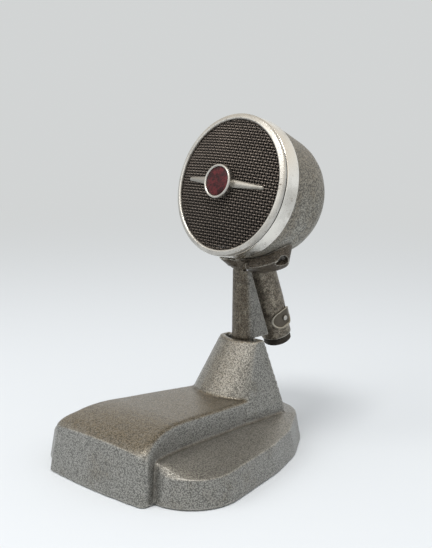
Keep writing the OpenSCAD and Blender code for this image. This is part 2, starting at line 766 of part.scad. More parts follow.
// A shell that follows the grille's dome, from a distance behind it
module dome_shell(back, t, r0, r1) {
    rotate_extrude() polygon(concat(
        [for (i = [0:steps]) let (r = r0 + (r1 - r0) * i / steps) [r, dome_z(r) - back]],
        [for (i = [steps:-1:0]) let (r = r0 + (r1 - r0) * i / steps) [r, dome_z(r) - back - t]]));
}

mesh_r = grille_r - 0.2;

module grille_mesh() {
    color("#33302c") in_head() {
        difference() {
            translate([0, 0, -rim_in - mesh_t]) cylinder(r = grille_r + 0.1, h = mesh_t);
            translate([0, 0, -5]) cylinder(r = mesh_r - 1.2, h = 10);
        }
        dome_shell(rim_in, mesh_t, 2, mesh_r);
    }
}

module grille_cloth() {
    color("#15130f") in_head() dome_shell(rim_in + mesh_t + 0.3, 0.5, 2.2, mesh_r - 2);
}

baffle_o = 3.2;
baffle_t = 1.2;
baffle_r = shell_neck_r - shell_wall - 0.2;
cartridge_r = 21;
cartridge_len = 15;
cartridge_front = baffle_o + baffle_t + 3;
case_front = cartridge_front + 0.8;

module baffle_plate() {
    color("#a9a9a3") in_head() difference() {
        translate([0, 0, -baffle_o - baffle_t]) cylinder(r = baffle_r, h = baffle_t);
        for (i = [0:5]) rotate(60 * i) translate([12, 0, -10]) cylinder(r = 3.4, h = 20);
        translate([0, 0, -10]) cylinder(r = 1.75, h = 20);
        for (i = [0:2]) rotate(90 + 120 * i) translate([26, 0, -10]) cylinder(r = 1.2, h = 20);
    }
}

module baffle_screws() {
    color("#8b8d90") in_head() for (i = [0:2]) rotate(90 + 120 * i) translate([26, 0, 0]) {
        translate([0, 0, -baffle_o]) cylinder(r = 2, h = 1);
        translate([0, 0, -cartridge_front - 3.4]) cylinder(r = 1.1, h = 3.4 + cartridge_front
            - baffle_o + tiny);
    }
}

badge_base = grille_dome - rim_in + 0.05;

module badge_cup() {
    color("#cfccc3") in_head() {
        translate([0, 0, badge_base]) difference() {
            union() {
                cylinder(r1 = badge_r - 0.5, r2 = badge_r, h = badge_h - 1);
                translate([0, 0, badge_h - 1 - tiny]) cylinder(r1 = badge_r, r2 = badge_r - 0.7, h = 1);
            }
            translate([0, 0, badge_h - 1.4]) cylinder(r = badge_r - badge_rim, h = 3);
            // Room for the trim bar
            translate([-20, -trim_w / 2 - 0.1, -1]) cube([40, trim_w + 0.2, trim_t + 1.2]);
        }
        translate([0, 0, -baffle_o - baffle_t - 2.2]) cylinder(r = 1.5, h = badge_base + baffle_o
            + baffle_t + 2.2 + badge_h - 1.6);
    }
}

module badge_enamel() {
    color("#6e1320") in_head() translate([0, 0, badge_base + badge_h - 1.4]) {
        cylinder(r = badge_r - badge_rim - 0.1, h = 0.7);
        translate([0, 0, 0.7 - tiny]) cylinder(r1 = badge_r - badge_rim - 0.5, r2 = 2.6, h = 0.5);
    }
}

// Trim bar: a tapering strip that follows the dome
module badge_trim_bar() {
    color("#cfccc3") in_head() difference() {
        intersection() {
            translate([0, 0, -10]) linear_extrude(40) polygon([
                [-trim_len / 2, -trim_tip_w / 2], [0, -trim_w / 2], [trim_len / 2, -trim_tip_w / 2],
                [trim_len / 2, trim_tip_w / 2], [0, trim_w / 2], [-trim_len / 2, trim_tip_w / 2]]);
            dome_shell(-trim_t - 0.05 + rim_in, trim_t, 0, trim_len / 2 + 2);
        }
        translate([0, 0, -10]) cylinder(r = 1.6, h = 40);
    }
}

module badge_nut() {
    color("#9c8a52") in_head() translate([0, 0, -baffle_o - baffle_t - 2]) difference() {
        cylinder(r = 3, h = 2, $fn = 6);
        translate([0, 0, -1]) cylinder(r = 1.5 + screw_clear, h = 5);
    }
}

module cartridge_case() {
    color("#b9b6ac") in_head() difference() {
        union() {
            translate([0, 0, -cartridge_front - cartridge_len])
                cylinder(r = cartridge_r, h = cartridge_len);
            translate([0, 0, -case_front - 2.2]) cylinder(r = 29, h = 2.2);
        }
        translate([0, 0, -cartridge_front - cartridge_len + 1.5])
            cylinder(r = cartridge_r - 1.5, h = cartridge_len);
        for (i = [0:2]) rotate(90 + 120 * i) translate([26, 0, -30])
            cylinder(r = 1.1 + screw_clear, h = 40);
    }
}

module cartridge_gasket() {
    color("#1c1c1c") in_head() translate([0, 0, -case_front + tiny]) difference() {
        cylinder(r = 24.2, h = case_front - baffle_o - baffle_t - tiny);
        translate([0, 0, -1]) cylinder(r = cartridge_r + 0.2, h = 5);
    }
}

module diaphragm() {
    color("#c6c2b4") in_head() translate([0, 0, -cartridge_front - 3.5]) difference() {
        union() {
            cylinder(r = cartridge_r - 1.7, h = 0.3);
            cylinder(r1 = 12, r2 = 1.2, h = 3);
        }
        translate([0, 0, -0.3]) cylinder(r1 = 12, r2 = 0.6, h = 3);
    }
}

module drive_pin() {
    color("#9c9c98") in_head() translate([0, 0, -cartridge_front - 8]) cylinder(r = 0.5, h = 4.45);
}

module crystal_element() {
    color("#d8d3c2") in_head() translate([-7, -7, -cartridge_front - 9.6]) cube([14, 14, 1.5]);
    color("#d8d3c2") in_head() for (x = [-5.5, 3.5]) translate([x, -6.5,
        -cartridge_front - cartridge_len + 1.5]) cube([2, 13, cartridge_len - 9.6 - 1.5 + tiny]);
}

terminal_z = -cartridge_front - cartridge_len;

module terminal_block() {
    color("#4b2c1a") in_head() translate([-8, -14, terminal_z - 4]) difference() {
        cube([16, 8, 4]);
        for (x = [4, 12]) translate([x, 4, -1]) cylinder(r = 1 + screw_clear, h = 4);
    }
}

module terminal_screws() {
    color("#b39a55") in_head() for (x = [-4, 4]) translate([x, -10, terminal_z - 4]) {
        translate([0, 0, -1.1]) cylinder(r = 1.8, h = 1.1);
        translate([0, 0, -tiny]) cylinder(r = 1, h = 2.6);
    }
}

// Lead from the terminals down the tube to the contact, as an eight-sided sweep in the head's frame
tube_dir = [0, -cos(tube_back), -sin(tube_back)];
function along_tube(d) = [0, -tube_drop, -tube_o] + tube_dir * d;
lead_r = 1;
lead_points = [[0, -14.5, terminal_z - 2], [0, -16, terminal_z - 2.4], [0, -18, terminal_z - 4],
    along_tube(-15), along_tube(-8), along_tube(0), along_tube(12), along_tube(24), along_tube(36),
    along_tube(tube_len - 8.5)];
function unit(v) = v / norm(v);
function lead_dir(i) = unit(lead_points[min(i + 1, len(lead_points) - 1)]
    - lead_points[max(i - 1, 0)]);

module inner_lead() {
    n = len(lead_points);
    sides = 8;
    rings = [for (i = [0:n - 1]) let (d = lead_dir(i), side = cross([1, 0, 0], d))
        for (k = [0:sides - 1]) let (a = 360 * k / sides)
            lead_points[i] + lead_r * (cos(a) * [1, 0, 0] + sin(a) * side)];
    faces = concat(
        [for (i = [0:n - 2]) for (k = [0:sides - 1]) let (j = (k + 1) % sides) for (f = [
            [i * sides + k, (i + 1) * sides + k, i * sides + j],
            [i * sides + j, (i + 1) * sides + k, (i + 1) * sides + j]]) f],
        [for (k = [1:sides - 2]) [0, k, k + 1]],
        [for (k = [1:sides - 2]) [(n - 1) * sides, (n - 1) * sides + k + 1, (n - 1) * sides + k]]);
    color("#2b2622") in_head() polyhedron(rings, faces);
}

// Name plate wrapped round the tube, bare, with a raised rim
plate_low = tube_grip_len - 11;

module plate_shape(inset) {
    w = (tube_grip_r + 1) * sin(plate_half_angle) - inset;
    r = plate_h / 2 - inset;
    hull() for (s = [-1, 1]) translate([s * max(w - r, 0.5), 0]) circle(r = r, $fn = 48);
}

module plate_cut(inset) {
    translate([0, 0, -tube_len + plate_low]) rotate([-90, 0, 0]) linear_extrude(30) plate_shape(inset);
}

module plate_sleeve(r0, r1) {
    translate([0, 0, -tube_len + plate_low - plate_h]) difference() {
        cylinder(r = r1, h = 2 * plate_h);
        translate([0, 0, -1]) cylinder(r = r0, h = 2 * plate_h + 2);
    }
}

module name_plate() {
    color("#6e6a60") in_tube() rotate([0, 0, -plate_turn]) difference() {
        intersection() {
            plate_sleeve(tube_grip_r + 0.1, tube_grip_r + plate_t + plate_rim_t);
            plate_cut(0);
        }
        intersection() {
            plate_sleeve(tube_grip_r + plate_t, tube_grip_r + 5);
            plate_cut(0.9);
        }
        plate_line() cylinder(r = 0.8 + screw_clear, h = 20);
    }
}

// Places an object on the plate's middle line: z points from the tube's axis outwards
module plate_line() {
    translate([0, 0, -tube_len + plate_low]) rotate([-90, 0, 0]) children();
}

module name_plate_rivet() {
    color("#b9b5a8") in_tube() rotate([0, 0, -plate_turn]) plate_line() {
        translate([0, 0, tube_grip_r - 1.8]) cylinder(r = 0.8, h = plate_t + 2.2);
        translate([0, 0, tube_grip_r + plate_t + 0.02]) cylinder(r1 = 1.5, r2 = 1, h = 0.6);
    }
}

// Cable connector
module connector_ring() {
    color("#242322") in_tube() translate([0, 0, -tube_len]) difference() {
        union() {
            cylinder(r = connector_r, h = connector_len - 0.02);
            cylinder(r = connector_r - connector_wall, h = connector_len + 5);
        }
        translate([0, 0, -1]) cylinder(r = connector_r - 2 * connector_wall, h = connector_len + 8);
    }
}

module connector_insulator() {
    color("#5a3420") in_tube() translate([0, 0, -tube_len + 3]) difference() {
        cylinder(r = connector_r - 2 * connector_wall - 0.05, h = 3.4);
        translate([0, 0, -1]) cylinder(r = contact_r + 0.03, h = 6);
    }
}

module connector_contact() {
    color("#c2a65a") in_tube() translate([0, 0, -tube_len + 1.6]) {
        cylinder(r = contact_r, h = 5.6);
        cylinder(r1 = contact_r + 0.6, r2 = contact_r + 0.6, h = 1.2);
    }
}

module connector_set_screw() {
    color("#8b8d90") in_tube() translate([0, connector_r - connector_wall + 0.2,
        -tube_len + connector_len + 3.2]) rotate([-90, 0, 0]) difference() {
            cylinder(r = 1, h = tube_grip_r - connector_r + connector_wall - 0.7);
            translate([-2, -0.2, 1.1]) cube([4, 0.4, 2]);
        }
}

base_casting();
bottom_plate();
felt_pad();
plate_screws();
stand_leg();
leg_bolts();
leg_bolt_washers();
head_cradle();
hinge_screw();
friction_washers();
head_shell();
cradle_screws();
side_band();
bezel_ring();
grille_mesh();
grille_cloth();
baffle_plate();
baffle_screws();
badge_cup();
badge_enamel();
badge_trim_bar();
badge_nut();
cartridge_case();
cartridge_gasket();
diaphragm();
drive_pin();
crystal_element();
terminal_block();
terminal_screws();
inner_lead();
name_plate();
name_plate_rivet();
connector_ring();
connector_insulator();
connector_contact();
connector_set_screw();
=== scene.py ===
"""Finishes, wire grille and studio for a desk microphone, laid out as an add-on and run as a script."""
import json
import math

import bmesh
import bpy
import numpy as np
from bpy.props import FloatProperty, FloatVectorProperty, IntProperty, PointerProperty
from mathutils import Matrix, Vector


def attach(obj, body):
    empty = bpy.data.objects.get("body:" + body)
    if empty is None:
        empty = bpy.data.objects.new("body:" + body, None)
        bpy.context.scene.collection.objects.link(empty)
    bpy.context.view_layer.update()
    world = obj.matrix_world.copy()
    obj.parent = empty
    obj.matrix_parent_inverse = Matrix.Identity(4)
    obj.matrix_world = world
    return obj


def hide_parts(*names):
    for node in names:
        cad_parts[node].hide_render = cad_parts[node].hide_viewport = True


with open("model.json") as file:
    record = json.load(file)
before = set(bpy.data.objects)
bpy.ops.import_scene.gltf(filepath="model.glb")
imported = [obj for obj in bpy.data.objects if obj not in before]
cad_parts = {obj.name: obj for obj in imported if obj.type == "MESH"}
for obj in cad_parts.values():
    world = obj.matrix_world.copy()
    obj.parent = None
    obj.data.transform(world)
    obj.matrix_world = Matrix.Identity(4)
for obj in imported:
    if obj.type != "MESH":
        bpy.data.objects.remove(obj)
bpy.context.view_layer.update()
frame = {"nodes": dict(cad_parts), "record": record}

bl_info = {
    "name": "Desk Microphone Finishes",
    "version": (1, 0, 0),
    "blender": (4, 5, 0),
    "location": "3D Viewport > Sidebar > Microphone",
    "description": "Cast, polished and woven surfaces for the desk microphone, and its studio",
    "category": "Object",
}

MM = 0.001


def turn(axis, degrees):
    """A rotation about one axis."""
    return Matrix.Rotation(math.radians(degrees), 4, axis)


def shift(x, y, z):
    """A move given in millimetres."""
    return Matrix.Translation((x * MM, y * MM, z * MM))


# Sizes of the CAD model, in millimetres and degrees
HEAD_Y, HEAD_Z, HEAD_LEAN = 28.2, 147.7, 16.4
TUBE_Y, TUBE_Z, TUBE_LEAN, TUBE_LEN = -35.2, -35.2, 34.4, 53.5
GRIP_R = 8.7
PLATE_ROUND, PLATE_UP, PLATE_WRAP, PLATE_CAP = -86, 16.0, 56, 5.3
CONNECTOR_R = 7.94
GRILLE_R = 36.0
RING_R = 39.5
BAND_FRONT, BAND_BACK = -2.1, -11.9
DOME = 6.5
DOME_R = (GRILLE_R ** 2 + DOME ** 2) / (2 * DOME)
RIM_IN = 0.4
BADGE_R = 9.4
BADGE_BASE = DOME - RIM_IN + 0.05
SCREW_ROUND, SCREW_BACK, SCREW_OUT = 33.5, -28.5, 38.85
FOOT_SCREWS = ((43, -36), (-43, -36), (13, 56), (-13, 56))
FOOT_SCREW_Z = 2.7

# The head's frame: x across, y up the head, z out of the grille
HEAD = shift(0, HEAD_Y, HEAD_Z) @ turn("X", 90 - HEAD_LEAN)
# The cable tube's frame: z up the tube from its top, y to its rear
TUBE = HEAD @ shift(0, TUBE_Y, TUBE_Z) @ turn("X", TUBE_LEAN - 90)
# The small plate's frame: x round the tube, z outwards from the tube's axis
PLATE = TUBE @ turn("Z", PLATE_ROUND) @ shift(0, 0, PLATE_UP - TUBE_LEN) @ turn("X", -90)

# Heights on the object where its finishes change, in metres
# From the lobes' tops to the block's top the rubbed brown grows to full, so the lobes' tops are painted
# lighter against the shade on them
LOBE_TOP, BLOCK_TOP = 0.022, 0.03
SHELL_BROWN = (0.125, 0.165)
CRADLE_BROWN = (0.09, 0.101)
# Up the grille the wire crowns get lighter, a painted highlight
GRILLE_HIGHLIGHT_RISE = (0.115, 0.165)
# The studio, in metres: each light's name, place, target and size, then the camera and the floor
LIGHTS = (("key", (-0.4, -1.15, 1.05), (0, 0, 0.08), 1.3), ("fill", (1.25, 0.15, 0.75), (0, 0.02, 0.08), 1.0),
          ("top", (0.22, -0.42, 1.32), (0, 0, 0.05), 0.36))
CAMERA_PLACE = (0.4459, -0.4232, 0.2299)
CAMERA_AIM = (0, 0.018, 0.09946)
FLOOR_R = 12
# How strongly the bends of a casting's skin count as worn edges, partly a painted highlight, and as painted
# shade in its hollow corners
EDGE_GAIN, HOLLOW_SHADE_GAIN = 7, 14
# Steps of a grille wire from crossing to crossing, and how far the cross wires' crowns are lightened, partly
# rubbed and partly a painted highlight
WIRE_STEPS, CROSS_CROWN = 4, 0.62


def dome_z(r):
    """Height of the grille's dome at a radius, in millimetres."""
    return math.sqrt(DOME_R ** 2 - r ** 2) - (DOME_R - DOME)


# Settings


def in_mm(label, description, default, low, high):
    """A length setting, given in millimetres."""
    return FloatProperty(name=label, description=description, default=default * MM, min=low * MM,
                         max=high * MM, unit="LENGTH", precision=5)


def in_rgb(label, description, default):
    """A colour setting."""
    return FloatVectorProperty(name=label, description=description, default=default, subtype="COLOR", size=3,
                               min=0, max=1)


def in_watts(label, description, default):
    """The power of a light, in watts."""
    return FloatProperty(name=label, description=description, default=default, min=0, max=500, unit="POWER")


class MicSizes(bpy.types.PropertyGroup):
    """Sizes of the pieces that are finished here."""
    wire_pitch: in_mm("Wire Pitch", "Distance from wire to wire in the grille", 1.6, 0.8, 4)
    wire_radius: in_mm("Wire Radius", "Radius of one grille wire", 0.36, 0.1, 1)
    wire_wave: in_mm("Wire Wave", "How far a wire swings over and under its neighbours", 0.3, 0, 1)
    cast_edge: in_mm("Cast Edge", "Grid size that rounds the base casting's edges", 0.8, 0.7, 3)
    fine_edge: in_mm("Fine Edge", "Grid size that rounds the cradle's and leg's edges", 0.4, 0.3, 2)
    turns: IntProperty(name="Turned Segments", description="Steps round each turned ring",
                       default=192, min=48, max=384)


class MicColours(bpy.types.PropertyGroup):
    """Colours of the finishes, as seen in plain light."""
    paint: in_rgb("Paint", "Hammered grey paint of the base", (0.262, 0.258, 0.238))
    rubbed: in_rgb("Rubbed Paint", "Brown of the rubbed upper faces", (0.168, 0.141, 0.1))
    shell: in_rgb("Shell Paint", "Warm grey of the head's shell", (0.28, 0.27, 0.235))
    patina: in_rgb("Patina", "Dark brown of the leg and the cradle", (0.042, 0.027, 0.015))
    polished: in_rgb("Polished Metal", "Front ring and side band", (0.79, 0.765, 0.71))
    enamel: in_rgb("Enamel", "Red enamel of the badge", (0.036, 0.005, 0.006))


class MicStudio(bpy.types.PropertyGroup):
    """Camera and light."""
    lens: FloatProperty(name="Lens", description="Focal length for a 36 mm sensor", default=77.1,
                        min=20, max=200, unit="CAMERA")
    key_power: in_watts("Key Light", "Power of the large soft light", 8.0)
    fill_power: in_watts("Fill Light", "Power of the soft light on the right", 0.8)
    top_power: in_watts("Top Light", "Power of the small light over the front", 7.5)
    sky: FloatProperty(name="Room Light", description="Strength of the even light from all round",
                       default=0.62, min=0, max=2)
    floor_colour: in_rgb("Floor", "Pale floor under the object", (0.778, 0.8, 0.815))
    far_colour: in_rgb("Backdrop", "Backdrop far behind the object", (0.645, 0.66, 0.66))


# Helpers for meshes


def linked(name, data):
    """A new object of some data, in the scene."""
    item = bpy.data.objects.new(name, data)
    bpy.context.scene.collection.objects.link(item)
    return item


def new_piece(name, mesh, slot, *nodes, body="head", look=None):
    """Makes a piece of a mesh, in place of CAD nodes, with its slot's finish or a look of its own."""
    mesh.name = name
    mesh.materials.clear()
    mesh.materials.append(finish(look or slot))
    piece = linked(name, mesh)
    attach(piece, body)
    if nodes:
        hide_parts(*nodes)


def grid_mesh(rows, matrix, ends=True):
    """A smooth skin through rings of points in millimetres, placed by a matrix, its faces turned outwards."""
    bm = bmesh.new()
    rings = [[bm.verts.new(matrix @ (Vector(p) * MM)) for p in row] for row in rows]
    count = len(rings[0])
    for low, high in zip(rings, rings[1:]):
        for k in range(count):
            j = (k + 1) % count
            bm.faces.new((low[k], low[j], high[j], high[k]))
    if ends:
        bm.faces.new(list(reversed(rings[0])))
        bm.faces.new(rings[-1])
    bmesh.ops.remove_doubles(bm, verts=bm.verts, dist=1e-6)
    bmesh.ops.dissolve_degenerate(bm, edges=bm.edges, dist=1e-7)
    bmesh.ops.recalc_face_normals(bm, faces=bm.faces)
    for face in bm.faces:
        face.smooth = True
    mesh = bpy.data.meshes.new("piece")
    bm.to_mesh(mesh)
    bm.free()
    return mesh


def outline(r, z, *steps):
    """Points of a profile, by their steps out from a radius and up from a height."""
    return [(r + out, z + up) for out, up in steps]


def turned(profile, steps, matrix=HEAD):
    """A turned piece from a profile of radius and height in millimetres, a ring if it starts off the axis."""
    closed = profile[0][0] > 0
    points = rounded(profile, closed)
    if closed:
        points = points + points[:1]
    angles = [2 * math.pi * k / steps for k in range(steps)]
    rows = [[(r * math.cos(a), r * math.sin(a), z) for a in angles] for r, z in points]
    return grid_mesh(rows, matrix, ends=False)


def rounded(profile, closed, cut=0.18, most=0.3):
    """Takes small chamfers off a profile's corners, twice, each from at most a share of its side."""
    for _ in range(2):
        out = []
        count = len(profile)
        for i, here in enumerate(profile):
            if not closed and i in (0, count - 1):
                out.append(here)
                continue
            for other in (profile[i - 1], profile[(i + 1) % count]):
                share = min(cut / max(math.dist(here, other), 1e-6), most)
                out.append((here[0] + (other[0] - here[0]) * share, here[1] + (other[1] - here[1]) * share))
        profile, cut = out, cut * 0.4
    return profile


def softened(node, grid, passes):
    """A copy of a CAD casting as one skin with rounded cast edges."""
    mesh = frame["nodes"][node].data.copy()
    bm = bmesh.new()
    bm.from_mesh(mesh)
    bmesh.ops.remove_doubles(bm, verts=bm.verts, dist=0.02 * MM)
    bm.to_mesh(mesh)
    bm.free()
    work = linked("work", mesh)
    remesh = work.modifiers.new("Grid", "REMESH")
    remesh.mode = "VOXEL"
    remesh.voxel_size = grid
    remesh.use_smooth_shade = True
    smooth = work.modifiers.new("Soften", "SMOOTH")
    smooth.iterations = passes
    smooth.factor = 0.5
    result = baked(work)
    bpy.data.meshes.remove(mesh)
    mark_relief(result, grid)
    return result


def baked(work):
    """The evaluated mesh of a working object, which is then removed."""
    bpy.context.view_layer.update()
    graph = bpy.context.evaluated_depsgraph_get()
    result = bpy.data.meshes.new_from_object(work.evaluated_get(graph))
    work.modifiers.clear()
    bpy.data.objects.remove(work)
    return result


def rows_of(items, key, width, kind=np.float32):
    """A property of every item, as rows of numbers."""
    values = np.empty(len(items) * width, kind)
    items.foreach_get(key, values)
    return values.reshape(-1, width)


def mark_relief(mesh, grid):
    """Stores where a skin is convex, hollow, upward and sideways facing, for worn edges that are partly a
    painted highlight, for rubbed tops and for painted shade in the hollows.
    """
    place = rows_of(mesh.vertices, "co", 3)
    normal = rows_of(mesh.vertex_normals, "vector", 3)
    ends = rows_of(mesh.edges, "vertices", 2, np.int32)
    degree = np.bincount(ends.ravel(), minlength=len(place)).astype(np.float32)[:, None]

    def spread(values):
        total = np.zeros_like(values)
        np.add.at(total, ends[:, 0], values[ends[:, 1]])
        np.add.at(total, ends[:, 1], values[ends[:, 0]])
        return total / np.maximum(degree, 1)

    def eased(values):
        for _ in range(2):
            values = 0.5 * values + 0.5 * spread(values)
        return values

    bend = eased(((place - spread(place)) * normal).sum(1, keepdims=True) / grid)
    hollow = eased(np.maximum(-bend, 0))
    # The hollows carry painted shade for a casting's corners
    for name, values in (("edge", bend * EDGE_GAIN), ("dip", hollow * HOLLOW_SHADE_GAIN),
                         ("top", eased(normal[:, 2:3])), ("side", np.abs(normal[:, 0:1]))):
        layer = mesh.attributes.new(name, "FLOAT", "POINT")
        layer.data.foreach_set("value", np.clip(values, 0, 1).ravel().astype(np.float32))


# Helpers for node trees


class Tree:
    """Adds nodes to a tree and joins them, for shaders and geometry alike."""

    def __init__(self, tree):
        self.tree = tree

    def give(self, node, key, value):
        """Joins a socket to an input, or sets the input's value."""
        if isinstance(value, bpy.types.NodeSocket):
            self.tree.links.new(value, node.inputs[key])
        else:
            node.inputs[key].default_value = value

    def add(self, kind, inputs=None, **settings):
        """A new node with its settings and inputs."""
        node = self.tree.nodes.new(kind)
        for key, value in settings.items():
            setattr(node, key, value)
        for key, value in (inputs or {}).items():
            self.give(node, key, value)
        return node

    def first(self, kind, inputs=None, **settings):
        """The first result of a new node."""
        return self.add(kind, inputs, **settings).outputs[0]

    def math(self, operation, *values, clamp=False):
        """The result of a math node."""
        return self.first("ShaderNodeMath", dict(enumerate(values)), operation=operation, use_clamp=clamp)

    def times(self, a, b, clamp=False):
        """A product."""
        return self.math("MULTIPLY", a, b, clamp=clamp)

    def plus(self, a, b, clamp=False):
        """A sum."""
        return self.math("ADD", a, b, clamp=clamp)

    def minus(self, a, b):
        """A difference."""
        return self.math("SUBTRACT", a, b)

    def vector(self, operation, first, second=None):
        """The result of a vector math node: a vector, or a number for a length or a dot product."""
        inputs = {0: first}
        if second is not None:
            inputs["Scale" if operation == "SCALE" else 1] = second
        node = self.add("ShaderNodeVectorMath", inputs, operation=operation)
        return node.outputs["Value" if operation in ("LENGTH", "DOT_PRODUCT") else "Vector"]

    def combine(self, parts):
        """A vector from some of its three parts."""
        return self.first("ShaderNodeCombineXYZ", parts)

    def place(self):
        """The place on the object, in metres."""
        return self.add("ShaderNodeTexCoord").outputs["Object"]

    def level(self):
        """The height on the object, in metres."""
        return self.add("ShaderNodeSeparateXYZ", {0: self.place()}).outputs[2]

    def mark(self, name):
        """A value stored on the mesh."""
        return self.add("ShaderNodeAttribute", attribute_name=name).outputs["Fac"]

    def mix(self, factor, a, b, blend="MIX"):
        """A colour mixed from two."""
        node = self.add("ShaderNodeMix", {0: factor}, data_type="RGBA", blend_type=blend)
        self.give(node, 6, wide(a))
        self.give(node, 7, wide(b))
        return node.outputs[2]

    def tinted(self, tone, tint):
        """A colour multiplied by another."""
        return self.mix(1.0, tone, tint, "MULTIPLY")

    def ramp(self, value, low, high, start=0.0, end=1.0):
        """A value eased from one range to another."""
        return self.first("ShaderNodeMapRange", {0: value, 1: low, 2: high, 3: start, 4: end},
                          interpolation_type="SMOOTHSTEP")

    def noise(self, place, scale, detail, rough=0.55, colour=False):
        """A noise pattern at a scale given in cells per metre."""
        node = self.add("ShaderNodeTexNoise", {
            "Vector": place, "Scale": scale, "Detail": detail, "Roughness": rough})
        return node.outputs["Color" if colour else "Fac"]

    def joined(self, *shapes):
        """Several geometries as one."""
        node = self.add("GeometryNodeJoinGeometry")
        for shape in shapes:
            self.give(node, 0, shape)
        return node.outputs[0]

    def end_with(self, out, shape, material):
        """Ends a geometry tree: instances made real, then their material."""
        real = self.first("GeometryNodeRealizeInstances", {0: shape})
        self.give(out, "Geometry", self.first("GeometryNodeSetMaterial", {0: real, "Material": material}))


def wide(colour):
    """A colour with its alpha, or a socket as it is."""
    if isinstance(colour, bpy.types.NodeSocket):
        return colour
    return (*tuple(colour)[:3], 1.0)


def new_group(name, inputs, *outputs):
    """A shader group, or a geometry tree if no outputs are named: it, its helpers, its inputs and its end."""
    kind, result = ("ShaderNodeTree", "Float") if outputs else ("GeometryNodeTree", "Geometry")
    group = bpy.data.node_groups.new(name, kind)
    for label, default in inputs.items():
        socket_type = default if isinstance(default, str) else "NodeSocketFloat"
        socket = group.interface.new_socket(name=label, in_out="INPUT", socket_type=socket_type)
        if socket_type == "NodeSocketFloat":
            socket.default_value = default
    for label in outputs or ("Geometry",):
        group.interface.new_socket(name=label, in_out="OUTPUT", socket_type="NodeSocket" + result)
    tree = Tree(group)
    return group, tree, tree.add("NodeGroupInput").outputs, tree.add("NodeGroupOutput")


# Effects shared by the finishes


def hammered_group():
    """Hammered paint: soft cells with a fine grain between them, dark flecks and bright grains."""
    group, tree, given, out = new_group(
        "Hammered Paint", {"Cells": 700.0, "Stir": 0.5}, "Height", "Fleck", "Glint")
    cells, place = given["Cells"], tree.place()
    stir = tree.noise(place, tree.times(cells, 0.7), 2, colour=True)
    stir = tree.vector("SUBTRACT", stir, (0.5, 0.5, 0.5))
    stir = tree.vector("SCALE", stir, tree.math("DIVIDE", given["Stir"], cells))
    place = tree.vector("ADD", place, stir)
    middle = tree.first("ShaderNodeTexVoronoi", {"Vector": place, "Scale": cells, "Smoothness": 0.6},
                        feature="SMOOTH_F1")
    fine = tree.noise(place, tree.times(cells, 2.6), 3, 0.6)
    height = tree.times(tree.minus(1.0, tree.times(middle, 1.25)), 0.62)
    speck = tree.noise(place, tree.times(cells, 0.62), 5, 0.75)
    tree.give(out, "Height", tree.plus(height, tree.times(fine, 0.38), clamp=True))
    tree.give(out, "Fleck", tree.ramp(speck, 0.56, 0.68))
    tree.give(out, "Glint", tree.ramp(speck, 0.44, 0.33))
    return group


def blotch_group():
    """Soft stains: a mask that covers part of a surface in clouds."""
    group, tree, given, out = new_group(
        "Soft Stains", {"Clouds": 60.0, "Cover": 0.5, "Softness": 0.15}, "Mask")
    cloud = tree.noise(tree.place(), given["Clouds"], 6, 0.68)
    middle = tree.minus(0.75, tree.times(given["Cover"], 0.5))
    low, high = tree.minus(middle, given["Softness"]), tree.plus(middle, given["Softness"])
    tree.give(out, "Mask", tree.ramp(cloud, low, high))
    return group


def wear_and_highlight_group():
    """Worn edges: bare metal where a skin is convex, broken up by noise, partly real and partly a painted
    highlight along the edges.
    """
    group, tree, given, out = new_group("Edge Wear", {"Edge": 0.0, "Break Up": 500.0, "Amount": 0.5}, "Mask")
    rough = tree.minus(tree.noise(tree.place(), given["Break Up"], 4, 0.65), 0.5)
    worn = tree.plus(given["Edge"], tree.times(rough, 1.1))
    tree.give(out, "Mask", tree.times(tree.ramp(worn, 0.3, 0.85), given["Amount"], clamp=True))
    return group


def polish_group():
    """Old polish: hair scratches, small pits and brown stains on bare metal."""
    group, tree, given, out = new_group(
        "Old Polish", {"Scratches": 900.0, "Pits": 700.0, "Cover": 0.4}, "Height", "Stain", "Haze")
    place = tree.place()
    scratch = None
    for angle, squeeze in ((0.4, (0.06, 1.0, 1.0)), (1.7, (1.0, 0.05, 0.8)), (2.6, (0.7, 1.0, 0.05))):
        along = tree.first("ShaderNodeMapping", {
            "Vector": place, "Rotation": (angle, 0.3 * angle, angle), "Scale": squeeze})
        line = tree.math("ABSOLUTE", tree.minus(tree.noise(along, given["Scratches"], 2, 0.5), 0.5))
        line = tree.ramp(line, 0.0, 0.022, 1.0, 0.0)
        scratch = line if scratch is None else tree.math("MAXIMUM", scratch, line)
    scratch = tree.times(scratch, tree.ramp(tree.noise(place, 120.0, 2, 0.5), 0.5, 0.62))
    pit = tree.ramp(tree.noise(place, given["Pits"], 3, 0.6), 0.64, 0.7)
    spots = tree.ramp(tree.noise(place, tree.times(given["Pits"], 0.35), 5, 0.72), 0.53, 0.68)
    cloud = tree.ramp(tree.noise(place, 70.0, 4, 0.6), 0.42, 0.66)
    stain = tree.math("MAXIMUM", tree.times(spots, cloud), pit)
    tree.give(out, "Height", tree.minus(0.0, tree.plus(tree.times(scratch, 0.35), pit)))
    tree.give(out, "Stain", tree.times(stain, given["Cover"], clamp=True))
    tree.give(out, "Haze", cloud)
    return group


def seam_group():
    """Painted shade in the seam between front ring and band, by depth behind the head's face in millimetres.
    """
    group, tree, given, out = new_group("Seam Dirt", {"Depth": 1.7, "Half Width": 0.5}, "Mask")
    facing = HEAD.to_3x3() @ Vector((0, 0, 1))
    offset = tree.vector("SUBTRACT", tree.place(), tuple(HEAD.translation))
    depth = tree.math("DIVIDE", tree.vector("DOT_PRODUCT", offset, tuple(facing)), MM)
    near = tree.math("DIVIDE", tree.math("ABSOLUTE", tree.plus(depth, given["Depth"])), given["Half Width"])
    tree.give(out, "Mask", tree.ramp(near, 0.8, 1.15, 1.0, 0.0))
    return group


GROUPS = {}
FINISHES = {}


